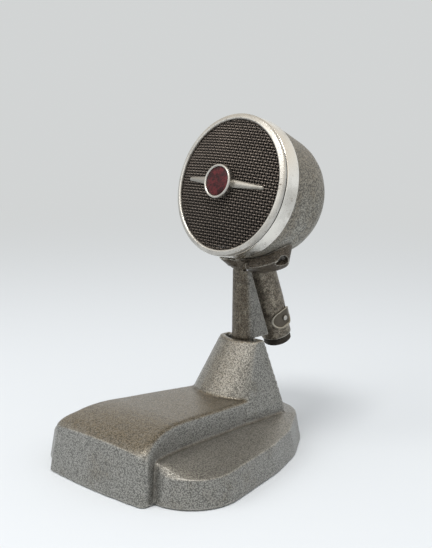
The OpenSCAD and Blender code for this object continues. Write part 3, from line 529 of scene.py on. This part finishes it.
def shared(name):
    """A shared effect or geometry tree, built the first time it is asked for."""
    makers = {"hammered": hammered_group, "blotch": blotch_group, "wear_and_highlight": wear_and_highlight_group, "polish": polish_group,
              "seam": seam_group, "weave": weave_tree, "screws": screw_tree}
    if name not in GROUPS:
        GROUPS[name] = makers[name]()
    return GROUPS[name]


class Finish(Tree):
    """A new material's tree, with its shader's inputs and the shared effects."""

    def __init__(self, name):
        material = bpy.data.materials.new(name)
        material.use_nodes = True
        super().__init__(material.node_tree)
        self.shader = material.node_tree.nodes["Principled BSDF"]
        FINISHES[name] = material

    def feed(self, node=None, **inputs):
        """Joins or sets inputs of a node, or of the shader."""
        for key, value in inputs.items():
            self.give(node or self.shader, key.replace("_", " "), value)

    def effect(self, kind, **inputs):
        """Places a shared effect with its inputs."""
        node = self.add("ShaderNodeGroup", node_tree=shared(kind))
        self.feed(node, **inputs)
        return node.outputs

    def stains(self, clouds, cover=0.5, softness=0.15):
        """A mask of soft stains."""
        return self.effect("blotch", Clouds=clouds, Cover=cover, Softness=softness)["Mask"]

    def bump(self, height, depth, strength):
        """Raises the surface by a height, whose depth is in millimetres."""
        self.feed(Normal=self.first("ShaderNodeBump", {
            "Height": height, "Distance": depth * MM, "Strength": strength}))


def shade(colour, share):
    """A colour made lighter or darker."""
    return tuple(min(1.0, c * share) for c in tuple(colour)[:3])


def painted(name, colour, rubbed, worn, rough, cells, depth, cover, clouds, wear_and_highlight, contrast, metal=0.4,
            top_rub=0.0, fleck=0.6, glint=0.15, side=None, high_up=None):
    """Hammered or patinated paint on a casting, rubbed on top, worn at its edges with a painted highlight
    there too, and with painted shade in its corners.
    """
    tree = Finish(name)
    edge, dip, top = (tree.mark(mark) for mark in ("edge", "dip", "top"))
    grain = tree.effect("hammered", Cells=cells)
    cloud = tree.stains(clouds, cover)
    small = tree.stains(clouds * 9, softness=0.12)
    slow = tree.stains(clouds * 0.5, softness=0.3)
    level = tree.level()
    # Rubbed faces under stains; on the lobes' tops the rubbed brown is weaker, painting them lighter against
    # the shade that falls there
    rub_and_lobe_light = tree.times(tree.ramp(top, 0.35, 0.8), top_rub)
    rub_and_lobe_light = tree.times(rub_and_lobe_light, tree.ramp(level, LOBE_TOP, BLOCK_TOP, 0.35, 1.0))
    rub_and_lobe_light = tree.times(rub_and_lobe_light, tree.plus(tree.times(small, 0.3), 0.76))
    stain = tree.times(cloud, tree.plus(0.4, tree.times(small, 0.6)))
    mask = tree.math("MAXIMUM", rub_and_lobe_light, stain, clamp=True)
    if high_up:
        upper = tree.times(tree.ramp(level, *high_up), tree.plus(0.6, tree.times(small, 0.4)))
        mask = tree.math("MAXIMUM", mask, upper)
    if side:
        flat = tree.ramp(tree.mark("side"), 0.75, 0.97)
        mask = tree.times(mask, tree.minus(1.0, tree.times(flat, 0.7)))
        colour = tree.mix(flat, colour, side)
    tone = tree.mix(mask, colour, rubbed)
    tone = tree.mix(tree.times(slow, 0.35), tone, tree.tinted(tone, (0.82, 0.8, 0.76)))
    # Grain of the hammered coat, then flecks, painted shade in the hollows, and worn edges that are partly a
    # painted highlight
    low, high = (tree.tinted(tone, (share,) * 3) for share in (1 - 0.85 * contrast, 1 + 0.45 * contrast))
    tone = tree.mix(tree.ramp(grain["Height"], 0.28, 0.6), low, high)
    tone = tree.mix(tree.times(grain["Glint"], glint), tone, worn)
    tone = tree.mix(tree.times(grain["Fleck"], fleck), tone, shade(rubbed, 0.28))
    # Painted shade: hollow corners darkened towards a dark brown
    tone = tree.mix(tree.times(dip, 0.6), tone, shade(rubbed, 0.35))
    # Worn edges: bare metal, partly real and partly a painted highlight along the edges
    bare = tree.effect("wear_and_highlight", Edge=edge, Amount=wear_and_highlight)["Mask"]
    rough = tree.minus(tree.plus(rough, tree.times(grain["Fleck"], 0.2)), tree.times(bare, 0.1))
    tree.feed(Base_Color=tree.mix(bare, tone, worn), Roughness=rough,
              Metallic=tree.plus(metal, tree.times(bare, 0.35), clamp=True))
    tree.bump(grain["Height"], depth, 0.9)


def bare_metal(name, colour, stain, rough, cover, depth=0.02, pits=700.0, haze=0.35, seam=False):
    """Bare metal with old scratches, pits and stains, and painted shade in the head's front seam if asked for.
    """
    tree = Finish(name)
    polish = tree.effect("polish", Pits=pits, Cover=cover)
    tone = tree.mix(tree.times(polish["Haze"], haze), colour, shade(colour, 0.72))
    tone = tree.mix(polish["Stain"], tone, stain)
    if seam:
        # Painted shade in the groove between front ring and band
        tone = tree.mix(tree.effect("seam")["Mask"], tone, (0.02, 0.02, 0.022))
    rough = tree.plus(tree.plus(rough, tree.times(polish["Haze"], 0.12)), tree.times(polish["Stain"], 0.35),
                      clamp=True)
    tree.feed(Base_Color=tone, Metallic=tree.minus(1.0, tree.times(polish["Stain"], 0.55)), Roughness=rough)
    tree.bump(polish["Height"], depth, 0.8)


def matte(name, colour, second, grain, rough, depth=0.05, clouds=80.0, coat=0.0, metal=0.0):
    """A matt or moulded surface with a fine grain and a slow change of colour."""
    tree = Finish(name)
    cloud = tree.stains(clouds, softness=0.2)
    relief = tree.effect("hammered", Cells=grain, Stir=0.8)
    tone = tree.mix(cloud, colour, second)
    tone = tree.mix(tree.times(relief["Fleck"], 0.4), tone, shade(colour, 0.5))
    tree.feed(Base_Color=tone, Roughness=tree.plus(rough, tree.times(cloud, 0.1), clamp=True), Metallic=metal,
              Coat_Weight=coat)
    tree.bump(relief["Height"], depth, 0.7)


def woven_dark(name, crown, valley):
    """Dark wire, lighter on the crowns of the weave, partly rubbed and partly a painted highlight, and lighter
    still up the head as a painted highlight.
    """
    tree = Finish(name)
    cloud = tree.stains(70.0, 0.55, 0.2)
    small = tree.stains(900.0, softness=0.2)
    rubbed = tree.plus(0.5, tree.times(tree.math("MAXIMUM", cloud, small), 0.5))
    # Crowns lighter, partly rubbed and partly a painted highlight, broken up by stains
    mask = tree.times(tree.ramp(tree.mark("crown"), 0.3, 0.9), rubbed)
    # Painted highlight, stronger up the head
    mask = tree.times(mask, tree.ramp(tree.level(), *GRILLE_HIGHLIGHT_RISE, 0.68, 1.0))
    tree.feed(Base_Color=tree.mix(mask, valley, crown), Metallic=0.5,
              Roughness=tree.minus(0.6, tree.times(mask, 0.2)))


def enamelled(name, colour):
    """Old red enamel: dark, mottled and crazed."""
    tree = Finish(name)
    crack = tree.first("ShaderNodeTexVoronoi", {"Vector": tree.place(), "Scale": 420.0},
                       feature="DISTANCE_TO_EDGE")
    crack = tree.ramp(crack, 0.0, 0.05, 1.0, 0.0)
    cloud = tree.stains(330.0, softness=0.1)
    tone = tree.mix(cloud, shade(colour, 0.7), shade(colour, 2.8))
    tone = tree.mix(tree.times(crack, 0.8), tone, (0.012, 0.004, 0.004))
    tree.feed(Base_Color=tone, Roughness=tree.plus(0.34, tree.times(cloud, 0.15)), Specular_IOR_Level=0.2)
    tree.bump(tree.minus(0.0, crack), 0.02, 0.5)


def make_finishes(colours):
    """Every finish, by the name of its slot or of a piece's own look."""
    bare = (0.5, 0.48, 0.43)
    painted("hammer_grey", colours.paint, colours.rubbed, bare, cells=1500, depth=0.12, top_rub=1.0,
            cover=0.16, clouds=45, wear_and_highlight=0.6, contrast=0.6, rough=0.32, metal=0.5)
    painted("hammer_shell", colours.shell, shade(colours.rubbed, 1.1), bare, cells=1150, depth=0.12,
            cover=0.5, clouds=90, wear_and_highlight=0.3, contrast=0.7, rough=0.46, metal=0.35, high_up=SHELL_BROWN)
    painted("brown_patina", (0.32, 0.285, 0.225), colours.patina, bare, cells=1200, depth=0.14, cover=0.56,
            clouds=260, wear_and_highlight=0.8, fleck=0.95, rough=0.46, contrast=0.5, glint=0.2, high_up=CRADLE_BROWN)
    painted("leg_patina", (0.225, 0.2, 0.152), colours.patina, bare, cells=1200, depth=0.12, cover=0.72,
            clouds=260, wear_and_highlight=0.4, fleck=0.95, rough=0.44, contrast=0.5, glint=0.2, side=(0.24, 0.237, 0.218))
    bare_metal("polished", colours.polished, (0.2, 0.16, 0.11), 0.17, 0.5, depth=0.03, haze=0.6, seam=True)
    bare_metal("satin_ring", shade(colours.polished, 0.68), (0.17, 0.125, 0.08), 0.36, 1.0,
               depth=0.05, pits=1300, haze=0.6, seam=True)
    bare_metal("badge_metal", (0.5, 0.485, 0.45), (0.12, 0.1, 0.08), 0.34, 0.6, pits=1500)
    bare_metal("bar_metal", (0.34, 0.325, 0.295), (0.1, 0.08, 0.06), 0.4, 0.7, pits=1500)
    bare_metal("plate_metal", (0.12, 0.105, 0.085), (0.04, 0.03, 0.02), 0.5, 0.7, pits=1300)
    bare_metal("plate_rim", (0.36, 0.335, 0.28), (0.12, 0.09, 0.06), 0.4, 0.6, pits=1500)
    bare_metal("steel", (0.26, 0.25, 0.235), (0.08, 0.055, 0.035), 0.4, 0.7, pits=1400)
    bare_metal("bottom_steel", (0.3, 0.3, 0.3), (0.12, 0.08, 0.05), 0.5, 0.5, pits=300)
    bare_metal("baffle", (0.6, 0.6, 0.58), (0.3, 0.27, 0.22), 0.42, 0.35)
    bare_metal("case_alloy", (0.58, 0.57, 0.53), (0.2, 0.17, 0.13), 0.4, 0.45)
    bare_metal("foil", (0.78, 0.76, 0.7), (0.4, 0.36, 0.28), 0.3, 0.2)
    bare_metal("brass", (0.6, 0.42, 0.16), (0.16, 0.09, 0.03), 0.32, 0.5, pits=1500)
    woven_dark("mesh_dark", (0.3, 0.25, 0.21), (0.02, 0.016, 0.013))
    matte("cloth_dark", (0.012, 0.011, 0.01), (0.02, 0.018, 0.016), 2600, 0.95, depth=0.1)
    matte("felt", (0.02, 0.021, 0.022), (0.035, 0.036, 0.038), 1500, 0.97, depth=0.25, clouds=200)
    matte("friction_fibre", (0.09, 0.06, 0.035), (0.06, 0.04, 0.025), 1700, 0.85)
    matte("rubber_black", (0.016, 0.016, 0.016), (0.025, 0.025, 0.025), 1300, 0.75)
    matte("crystal", (0.66, 0.62, 0.5), (0.74, 0.71, 0.62), 500, 0.4, depth=0.02, coat=0.3)
    matte("bakelite", (0.085, 0.035, 0.016), (0.045, 0.02, 0.01), 800, 0.4, depth=0.02, coat=0.2)
    matte("lead_black", (0.02, 0.018, 0.017), (0.035, 0.03, 0.026), 2200, 0.8, depth=0.12)
    matte("thread_black", (0.022, 0.02, 0.018), (0.06, 0.05, 0.038), 1100, 0.5, clouds=150, metal=0.5)
    enamelled("enamel_red", colours.enamel)


def finish(name):
    """A finish by its name, all of them made on the first call."""
    if not FINISHES:
        make_finishes(bpy.context.scene.mic_colours)
    return FINISHES[name]


# Geometry node trees


def weave_tree():
    """Plain weave of waved wires over the grille's dome, cut to a disc, with a mark for the crowns."""
    group, tree, given, out = new_group("Wire Weave", {
        "Pitch": 1.6 * MM, "Wire Radius": 0.36 * MM, "Wave": 0.3 * MM, "Disc Radius": GRILLE_R * MM,
        "Dome Radius": DOME_R * MM, "Dome Height": DOME * MM, "Set Back": 0.8 * MM,
        "Finish": "NodeSocketMaterial"})
    pitch, ball = given["Pitch"], given["Dome Radius"]
    half = tree.math("CEIL", tree.math("DIVIDE", given["Disc Radius"], pitch))
    reach = tree.times(half, pitch)
    back = tree.times(reach, -1)
    points = tree.plus(tree.times(half, 2 * WIRE_STEPS), 1)
    wires = tree.plus(tree.times(half, 2), 1)
    families = []
    for across in (0, 1):
        start, end = tree.combine({across: back}), tree.combine({across: reach})
        line = tree.first("GeometryNodeCurvePrimitiveLine", {"Start": start, "End": end})
        line = tree.first("GeometryNodeResampleCurve", {"Curve": line, "Count": points})
        start, step = tree.combine({1 - across: back}), tree.combine({1 - across: pitch})
        row = tree.first("GeometryNodeMeshLine", {"Count": wires, "Start Location": start, "Offset": step})
        laid = tree.first("GeometryNodeInstanceOnPoints", {"Points": row, "Instance": line})
        laid = tree.first("GeometryNodeRealizeInstances", {0: laid})
        place = tree.first("GeometryNodeInputPosition")
        radius = tree.vector("LENGTH", place)
        outside = tree.first("FunctionNodeCompare", {0: radius, 1: given["Disc Radius"]},
                             operation="GREATER_THAN")
        cut = tree.first("GeometryNodeDeleteGeometry", {0: laid, 1: outside}, domain="POINT")
        # Wires swing over and under by turns, on the dome's sphere
        parts = tree.add("ShaderNodeSeparateXYZ", {0: place}).outputs
        steps = tree.math("DIVIDE", tree.plus(parts[0], parts[1]), pitch)
        wave = tree.math("COSINE", tree.times(steps, math.pi))
        if across:
            wave = tree.times(wave, -1)
        dome = tree.math("SQRT", tree.minus(tree.times(ball, ball), tree.times(radius, radius)))
        dome = tree.minus(dome, tree.minus(ball, given["Dome Height"]))
        height = tree.plus(tree.minus(dome, given["Set Back"]), tree.times(wave, given["Wave"]))
        moved = tree.first("GeometryNodeSetPosition", {0: cut, "Offset": tree.combine({2: height})})
        crown = tree.times(tree.plus(tree.times(wave, 0.5), 0.5), CROSS_CROWN if across else 1.0)
        families.append(tree.first("GeometryNodeStoreNamedAttribute", {
            0: moved, "Name": "crown", "Value": crown}, data_type="FLOAT", domain="POINT"))
    section = tree.first("GeometryNodeCurvePrimitiveCircle", {
        "Resolution": 4, "Radius": given["Wire Radius"]})
    solid = tree.first("GeometryNodeCurveToMesh", {
        0: tree.joined(*families), "Profile Curve": section, "Fill Caps": True})
    tree.end_with(out, tree.first("GeometryNodeSetShadeSmooth", {0: solid}), given["Finish"])
    return group


def screw_tree():
    """A slotted screw with a flat, slightly tapered head, set on points along their directions."""
    group, tree, given, out = new_group("Slotted Screws", {
        "Points": "NodeSocketGeometry", "Head Radius": 2.8 * MM, "Head Top Radius": 2.5 * MM,
        "Head Height": 1.7 * MM, "Shank Radius": 1.5 * MM, "Shank Length": 7.8 * MM, "Slot Width": 0.8 * MM,
        "Slot Depth": 0.7 * MM, "Finish": "NodeSocketMaterial"})
    head = tree.first("GeometryNodeMeshCone", {
        "Vertices": 40, "Side Segments": 3, "Fill Segments": 1, "Radius Top": given["Head Top Radius"],
        "Radius Bottom": given["Head Radius"], "Depth": given["Head Height"]})
    size = tree.combine({
        0: tree.times(given["Head Radius"], 3), 1: given["Slot Width"], 2: tree.times(given["Slot Depth"], 2)})
    slot = tree.first("GeometryNodeMeshCube", {"Size": size})
    up = tree.combine({2: given["Head Height"]})
    slot = tree.first("GeometryNodeTransform", {0: slot, "Translation": up})
    cut = tree.first("GeometryNodeMeshBoolean", {"Mesh 1": head, "Mesh 2": slot}, operation="DIFFERENCE")
    shank = tree.first("GeometryNodeMeshCylinder", {
        "Vertices": 24, "Radius": given["Shank Radius"], "Depth": given["Shank Length"]})
    down = tree.combine({2: tree.times(tree.minus(given["Shank Length"], 0.1 * MM), -0.5)})
    shank = tree.first("GeometryNodeTransform", {0: shank, "Translation": down})
    pointing = tree.first("GeometryNodeInputNamedAttribute", {"Name": "direction"}, data_type="FLOAT_VECTOR")
    facing = tree.first("FunctionNodeAlignRotationToVector", {"Vector": pointing}, axis="Z")
    placed = tree.first("GeometryNodeInstanceOnPoints", {
        "Points": given["Points"], "Instance": tree.joined(cut, shank), "Rotation": facing})
    tree.end_with(out, placed, given["Finish"])
    return group


def run_tree(group, mesh, values):
    """The plain mesh that a geometry tree makes of a mesh."""
    work = linked("work", mesh)
    modifier = work.modifiers.new("Tree", "NODES")
    modifier.node_group = group
    for item in group.interface.items_tree:
        if item.in_out == "INPUT" and item.name in values:
            modifier[item.identifier] = values[item.name]
    result = baked(work)
    if not result.polygons:
        raise RuntimeError(f"{group.name} made no faces")
    return result


def screws_at(places, **sizes):
    """Slotted steel screws of sizes in millimetres, at places in metres, each with the way its head faces."""
    mesh = bpy.data.meshes.new("screw_points")
    mesh.from_pydata([tuple(point) for point, _ in places], [], [])
    facing = mesh.attributes.new("direction", "FLOAT_VECTOR", "POINT")
    for item, (_, direction) in zip(facing.data, places):
        item.vector = direction
    values = {key.replace("_", " "): size * MM for key, size in sizes.items()}
    return run_tree(shared("screws"), mesh, {"Finish": finish("steel"), **values})


# Operators


class MIC_OT_castings(bpy.types.Operator):
    """Round the edges of the base, the leg and the cradle, as castings have them"""
    bl_idname = "mic.castings"
    bl_label = "Castings"

    def execute(self, context):
        sizes = context.scene.mic_sizes
        for name, node, body, slot, grid, passes in (
                ("base_cast_body", "base_casting", "base", "hammer_grey", sizes.cast_edge, 1),
                ("leg_channel", "stand_leg", "base", "leg_patina", sizes.fine_edge, 2),
                ("cradle_and_tube", "head_cradle", "head", "brown_patina", sizes.fine_edge, 2)):
            new_piece(name, softened(node, grid, passes), slot, node, body=body)
        return {"FINISHED"}


class MIC_OT_rings(bpy.types.Operator):
    """Turn the front ring and the side band with soft polished corners"""
    bl_idname = "mic.rings"
    bl_label = "Front Ring and Band"

    def execute(self, context):
        steps = context.scene.mic_sizes.turns
        ring = (outline(GRILLE_R, 0, (0, -0.1), (0.1, 0.7), (0.4, 1.2), (0.8, 1.42), (1.3, 1.38), (2.9, 0.62))
                + outline(RING_R, 0, (-0.2, 0.2), (-0.02, -0.25), (0, -1.0), (-0.15, -1.3), (-2.2, -1.3),
                          (-2.2, -2.6), (-3.2, -2.6), (-3.2, -0.4)) + [(GRILLE_R, -0.4)])
        new_piece("front_ring", turned(ring, steps), "polished", "bezel_ring", look="satin_ring")
        band = (outline(RING_R, BAND_FRONT, (-1.8, 0), (-0.45, 0), (-0.05, -0.5))
                + outline(RING_R, BAND_BACK, (0.04, 1.0), (-0.2, 0.25), (-0.6, 0), (-1.8, 0)))
        new_piece("side_band_turned", turned(band, steps), "polished", "side_band")
        return {"FINISHED"}


class MIC_OT_weave(bpy.types.Operator):
    """Weave the wire grille over its dome, inside a pressed rim"""
    bl_idname = "mic.weave"
    bl_label = "Wire Grille"

    def execute(self, context):
        sizes = context.scene.mic_sizes
        values = {
            "Pitch": sizes.wire_pitch, "Wire Radius": sizes.wire_radius, "Wave": sizes.wire_wave,
            "Disc Radius": (GRILLE_R + 0.1) * MM, "Dome Radius": DOME_R * MM, "Dome Height": DOME * MM,
            "Set Back": 0.8 * MM, "Finish": finish("mesh_dark")}
        wires = run_tree(shared("weave"), bpy.data.meshes.new("weave"), values)
        wires.transform(HEAD)
        new_piece("wire_weave", wires, "mesh_dark", "grille_mesh")
        rim = outline(GRILLE_R, 0, (-1.3, -1.15), (-1.3, -0.55), (0.1, -0.5), (0.1, -1.15))
        new_piece("wire_weave_rim", turned(rim, sizes.turns), "mesh_dark")
        return {"FINISHED"}


class MIC_OT_badge(bpy.types.Operator):
    """Make the badge: a bright cup, its domed enamel and the tapering bar behind it"""
    bl_idname = "mic.badge"
    bl_label = "Badge"

    def execute(self, context):
        steps = context.scene.mic_sizes.turns // 2
        cup = [(0, BADGE_BASE + 0.4), *outline(
            BADGE_R, BADGE_BASE, (-0.6, 0), (-0.1, 2.9), (0, 3.5), (-0.3, 4.15), (-0.75, 4.38), (-1.25, 4.1),
            (-1.5, 3.6), (-1.5, 3.0)), (0, BADGE_BASE + 3.0)]
        new_piece("badge_cup_turned", turned(cup, steps), "badge_metal", "badge_cup")
        top = BADGE_BASE + 3.02
        dome = [(0, top), *outline(BADGE_R, top, (-1.6, 0), (-1.6, 0.55), (-2.6, 0.86), (-4.2, 1.1)),
                (2.2, top + 1.26), (0, top + 1.3)]
        new_piece("badge_enamel_dome", turned(dome, steps), "enamel_red", "badge_enamel")
        new_piece("badge_bar", self.bar(), "badge_metal", "badge_trim_bar", look="bar_metal")
        return {"FINISHED"}

    def bar(self, half=28.0, middle_w=3.0, tip_w=1.0, rounding=0.9, count=56):
        """The tapering bar over the dome, with bevelled sides and a low ridge."""
        rows = []
        for k in range(count + 1):
            x = -half + 2 * half * k / count
            near_tip = max(0.0, (abs(x) - half + rounding) / rounding)
            end = min(1.0, math.sqrt(max(0.0, 1 - near_tip ** 2)) + 0.02)
            w = (middle_w + (tip_w - middle_w) * abs(x) / half) * (0.35 + 0.65 * end)
            z = dome_z(min(abs(x), 35)) - RIM_IN + 0.06
            top = 0.35 + 1.03 * end
            side = [(1, 0), (1, 0.45), (0.72, 0.82), (0.2, 1)]
            rows.append([(x, -w * out, z + top * up) for out, up in side]
                        + [(x, w * out, z + top * up) for out, up in reversed(side)])
        return grid_mesh(rows, HEAD)


class MIC_OT_plate(bpy.types.Operator):
    """Wrap the bare plate round the tube, with its raised rim, and set its rivet"""
    bl_idname = "mic.plate"
    bl_label = "Small Plate"

    def execute(self, context):
        flat = [(inset, 0.8) for inset in (0.9, 1.6, 2.6, 3.6, 4.6, 5.24)]
        field = self.sheet([(0.25, 0.12), (0.25, 0.78), *flat])
        new_piece("tube_plate", field, "plate_metal", "name_plate")
        rim = self.sheet([(0.95, 0.7), (0.0, 0.7), (0.0, 1.02), (0.12, 1.2), (0.36, 1.29), (0.62, 1.24),
                          (0.82, 1.05), (0.95, 0.78)], ends=False)
        new_piece("tube_plate_rim", rim, "badge_metal", look="plate_rim")
        rivet = outline(0, GRIP_R, (0, -1.6), (0.8, -1.6), (0.8, 0.8), (1.5, 0.84), (1.45, 1.2), (1.1, 1.45),
                        (0.5, 1.56), (0, 1.58))
        new_piece("tube_plate_rivet", turned(rivet, 32, PLATE), "badge_metal", "name_plate_rivet")
        return {"FINISHED"}

    def sheet(self, steps, ends=True, count=96):
        """A sheet wrapped round the tube, from steps of inset and height above the tube."""
        straight = max((GRIP_R + 1) * math.sin(math.radians(PLATE_WRAP)) - PLATE_CAP, 0.5)
        rows = []
        for inset, lift in steps:
            cap, radius, row = PLATE_CAP - inset, GRIP_R + lift, []
            for k in range(count):
                a = 2 * math.pi * k / count
                x = math.copysign(straight, math.cos(a)) + cap * math.cos(a)
                angle = math.asin(max(-0.999, min(0.999, x / (GRIP_R + 1))))
                row.append((radius * math.sin(angle), cap * math.sin(a), radius * math.cos(angle)))
            rows.append(row)
        return grid_mesh(rows, PLATE, ends=ends)


class MIC_OT_thread(bpy.types.Operator):
    """Turn the cable connector's ring with the grooves of its thread"""
    bl_idname = "mic.thread"
    bl_label = "Connector Thread"

    def execute(self, context):
        bottom, r = -TUBE_LEN, CONNECTOR_R
        profile = outline(r, bottom, (-3, 0), (-0.8, 0))
        for k in range(4):
            low = bottom + 0.35 + 0.94 * k
            profile += outline(r, low, (-0.45, 0), (-0.02, 0.3), (-0.02, 0.5), (-0.45, 0.8))
        profile += outline(r, bottom, (-0.45, 4.45), (-1.5, 4.48), (-1.5, 9.5), (-3, 9.5))
        new_piece("connector_thread", turned(profile, 96, TUBE), "thread_black", "connector_ring")
        return {"FINISHED"}


class MIC_OT_screws(bpy.types.Operator):
    """Set the slotted screws of the cradle and of the bottom plate"""
    bl_idname = "mic.screws"
    bl_label = "Slotted Screws"

    def execute(self, context):
        places = []
        for side in (-1, 1):
            line = HEAD @ shift(0, 0, SCREW_BACK) @ turn("Z", SCREW_ROUND * side) @ turn("X", 90)
            places.append((line @ Vector((0, 0, SCREW_OUT * MM)), line.to_3x3() @ Vector((0, 0, 1))))
        cradle = screws_at(places, Head_Radius=2.8, Head_Top_Radius=2.55, Head_Height=1.7, Shank_Radius=1.5,
                           Shank_Length=7.8, Slot_Width=0.8, Slot_Depth=0.7)
        new_piece("cradle_screw_pair", cradle, "steel", "cradle_screws")
        places = [(Vector((x, y, FOOT_SCREW_Z)) * MM, Vector((0, 0, -1))) for x, y in FOOT_SCREWS]
        plate = screws_at(places, Head_Radius=1.65, Head_Top_Radius=2.9, Head_Height=1.1, Shank_Radius=1.6,
                          Shank_Length=7.9, Slot_Width=0.7, Slot_Depth=0.6)
        new_piece("bottom_screw_set", plate, "steel", "plate_screws", body="base")
        return {"FINISHED"}


class MIC_OT_finishes(bpy.types.Operator):
    """Give every CAD piece that stays the finish of its slot"""
    bl_idname = "mic.finishes"
    bl_label = "Finishes"

    def execute(self, context):
        slots = {row["node"]: row["material_slot"] for row in frame["record"]["subparts"]}
        for name, piece in frame["nodes"].items():
            if not piece.hide_render:
                piece.data.materials.clear()
                piece.data.materials.append(finish(slots[name]))
        return {"FINISHED"}


class MIC_OT_stage(bpy.types.Operator):
    """Lay the floor, hang the lights and place the camera"""
    bl_idname = "mic.stage"
    bl_label = "Stage"

    def execute(self, context):
        studio = context.scene.mic_studio
        bm = bmesh.new()
        bmesh.ops.create_circle(bm, cap_ends=True, radius=FLOOR_R, segments=96)
        mesh = bpy.data.meshes.new("floor")
        bm.to_mesh(mesh)
        bm.free()
        floor = linked("floor", mesh)
        mesh.materials.append(self.floor_finish(studio))
        for name, place, target, size in LIGHTS:
            lamp = bpy.data.lights.new(name + "_light", "AREA")
            lamp.size = size
            lamp.energy = getattr(studio, name + "_power")
            self.aimed(lamp, place, target)
        self.room(studio)
        camera = bpy.data.cameras.new("camera")
        camera.lens = studio.lens
        camera.sensor_width = 36
        camera.clip_start, camera.clip_end = 0.01, 100
        context.scene.camera = self.aimed(camera, CAMERA_PLACE, CAMERA_AIM)
        context.scene.view_settings.view_transform = "Standard"
        return {"FINISHED"}

    def aimed(self, data, place, target):
        """A light or camera in the scene at a place, turned to a target."""
        holder = linked(data.name, data)
        holder.location = place
        holder.rotation_euler = (Vector(target) - Vector(place)).to_track_quat("-Z", "Y").to_euler()
        return holder

    def emptied(self, tree, shader):
        """Helpers for a node tree, after its first shader is taken out."""
        tree.nodes.remove(tree.nodes[shader])
        return Tree(tree)

    def floor_finish(self, studio):
        """Pale floor that fades into the backdrop with its distance from the object."""
        material = bpy.data.materials.new("floor")
        material.use_nodes = True
        tree = self.emptied(material.node_tree, "Principled BSDF")
        place = tree.place()
        cloud = tree.times(tree.minus(tree.noise(place, 3.0, 3), 0.5), 0.02)
        far = tree.ramp(tree.plus(tree.vector("LENGTH", place), cloud), 0.16, 0.95)
        path = tree.add("ShaderNodeLightPath").outputs
        seen = tree.math("MAXIMUM", path["Is Camera Ray"], path["Is Glossy Ray"])
        paint = tree.first("ShaderNodeBsdfDiffuse", {"Color": wide(studio.floor_colour)})
        glow = tree.first("ShaderNodeEmission", {"Color": wide(studio.far_colour), "Strength": 1.0})
        mixed = tree.first("ShaderNodeMixShader", {0: tree.times(far, seen), 1: paint, 2: glow})
        tree.give(material.node_tree.nodes["Material Output"], "Surface", mixed)
        return material

    def room(self, studio):
        """Even light from all round, and the backdrop that the camera and bright metal see."""
        world = bpy.data.worlds.new("room")
        world.use_nodes = True
        tree = self.emptied(world.node_tree, "Background")
        path = tree.add("ShaderNodeLightPath").outputs
        facing = tree.add("ShaderNodeSeparateXYZ", {0: tree.add("ShaderNodeTexCoord").outputs["Generated"]})
        tone = tree.mix(tree.ramp(facing.outputs[2], 0.05, 0.7), (0.9, 0.93, 0.95), (0.9, 0.84, 0.75))
        lit = (((0.97, 0.985, 1.0), studio.sky), (studio.far_colour, 1.0), (tone, 1.0))
        soft, back, shine = (tree.first("ShaderNodeBackground", {"Color": wide(colour), "Strength": strength})
                             for colour, strength in lit)
        soft = tree.first("ShaderNodeMixShader", {0: path["Is Glossy Ray"], 1: soft, 2: shine})
        mixed = tree.first("ShaderNodeMixShader", {0: path["Is Camera Ray"], 1: soft, 2: back})
        tree.give(world.node_tree.nodes["World Output"], "Surface", mixed)
        bpy.context.scene.world = world


class MIC_PT_panel(bpy.types.Panel):
    """Lists the settings and the steps that finish the microphone"""
    bl_idname = "MIC_PT_panel"
    bl_label = "Desk Microphone"
    bl_space_type = "VIEW_3D"
    bl_region_type = "UI"
    bl_category = "Microphone"

    def draw(self, context):
        layout = self.layout
        for settings in (context.scene.mic_sizes, context.scene.mic_colours, context.scene.mic_studio):
            box = layout.box()
            for key in settings.bl_rna.properties.keys():
                if key not in ("rna_type", "name"):
                    box.prop(settings, key)
        for step in STEPS:
            layout.operator(step.bl_idname)


STEPS = (MIC_OT_castings, MIC_OT_rings, MIC_OT_weave, MIC_OT_badge, MIC_OT_plate, MIC_OT_thread,
         MIC_OT_screws, MIC_OT_finishes, MIC_OT_stage)
CLASSES = (MicSizes, MicColours, MicStudio, *STEPS, MIC_PT_panel)


def register():
    for item in CLASSES:
        bpy.utils.register_class(item)
    bpy.types.Scene.mic_sizes = PointerProperty(type=MicSizes)
    bpy.types.Scene.mic_colours = PointerProperty(type=MicColours)
    bpy.types.Scene.mic_studio = PointerProperty(type=MicStudio)


def unregister():
    del bpy.types.Scene.mic_sizes, bpy.types.Scene.mic_colours, bpy.types.Scene.mic_studio
    for item in reversed(CLASSES):
        bpy.utils.unregister_class(item)


def main():
    """Registers the add-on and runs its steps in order."""
    register()
    for step in STEPS:
        family, name = step.bl_idname.split(".")
        getattr(getattr(bpy.ops, family), name)()


if __name__ == "__main__":
    main()
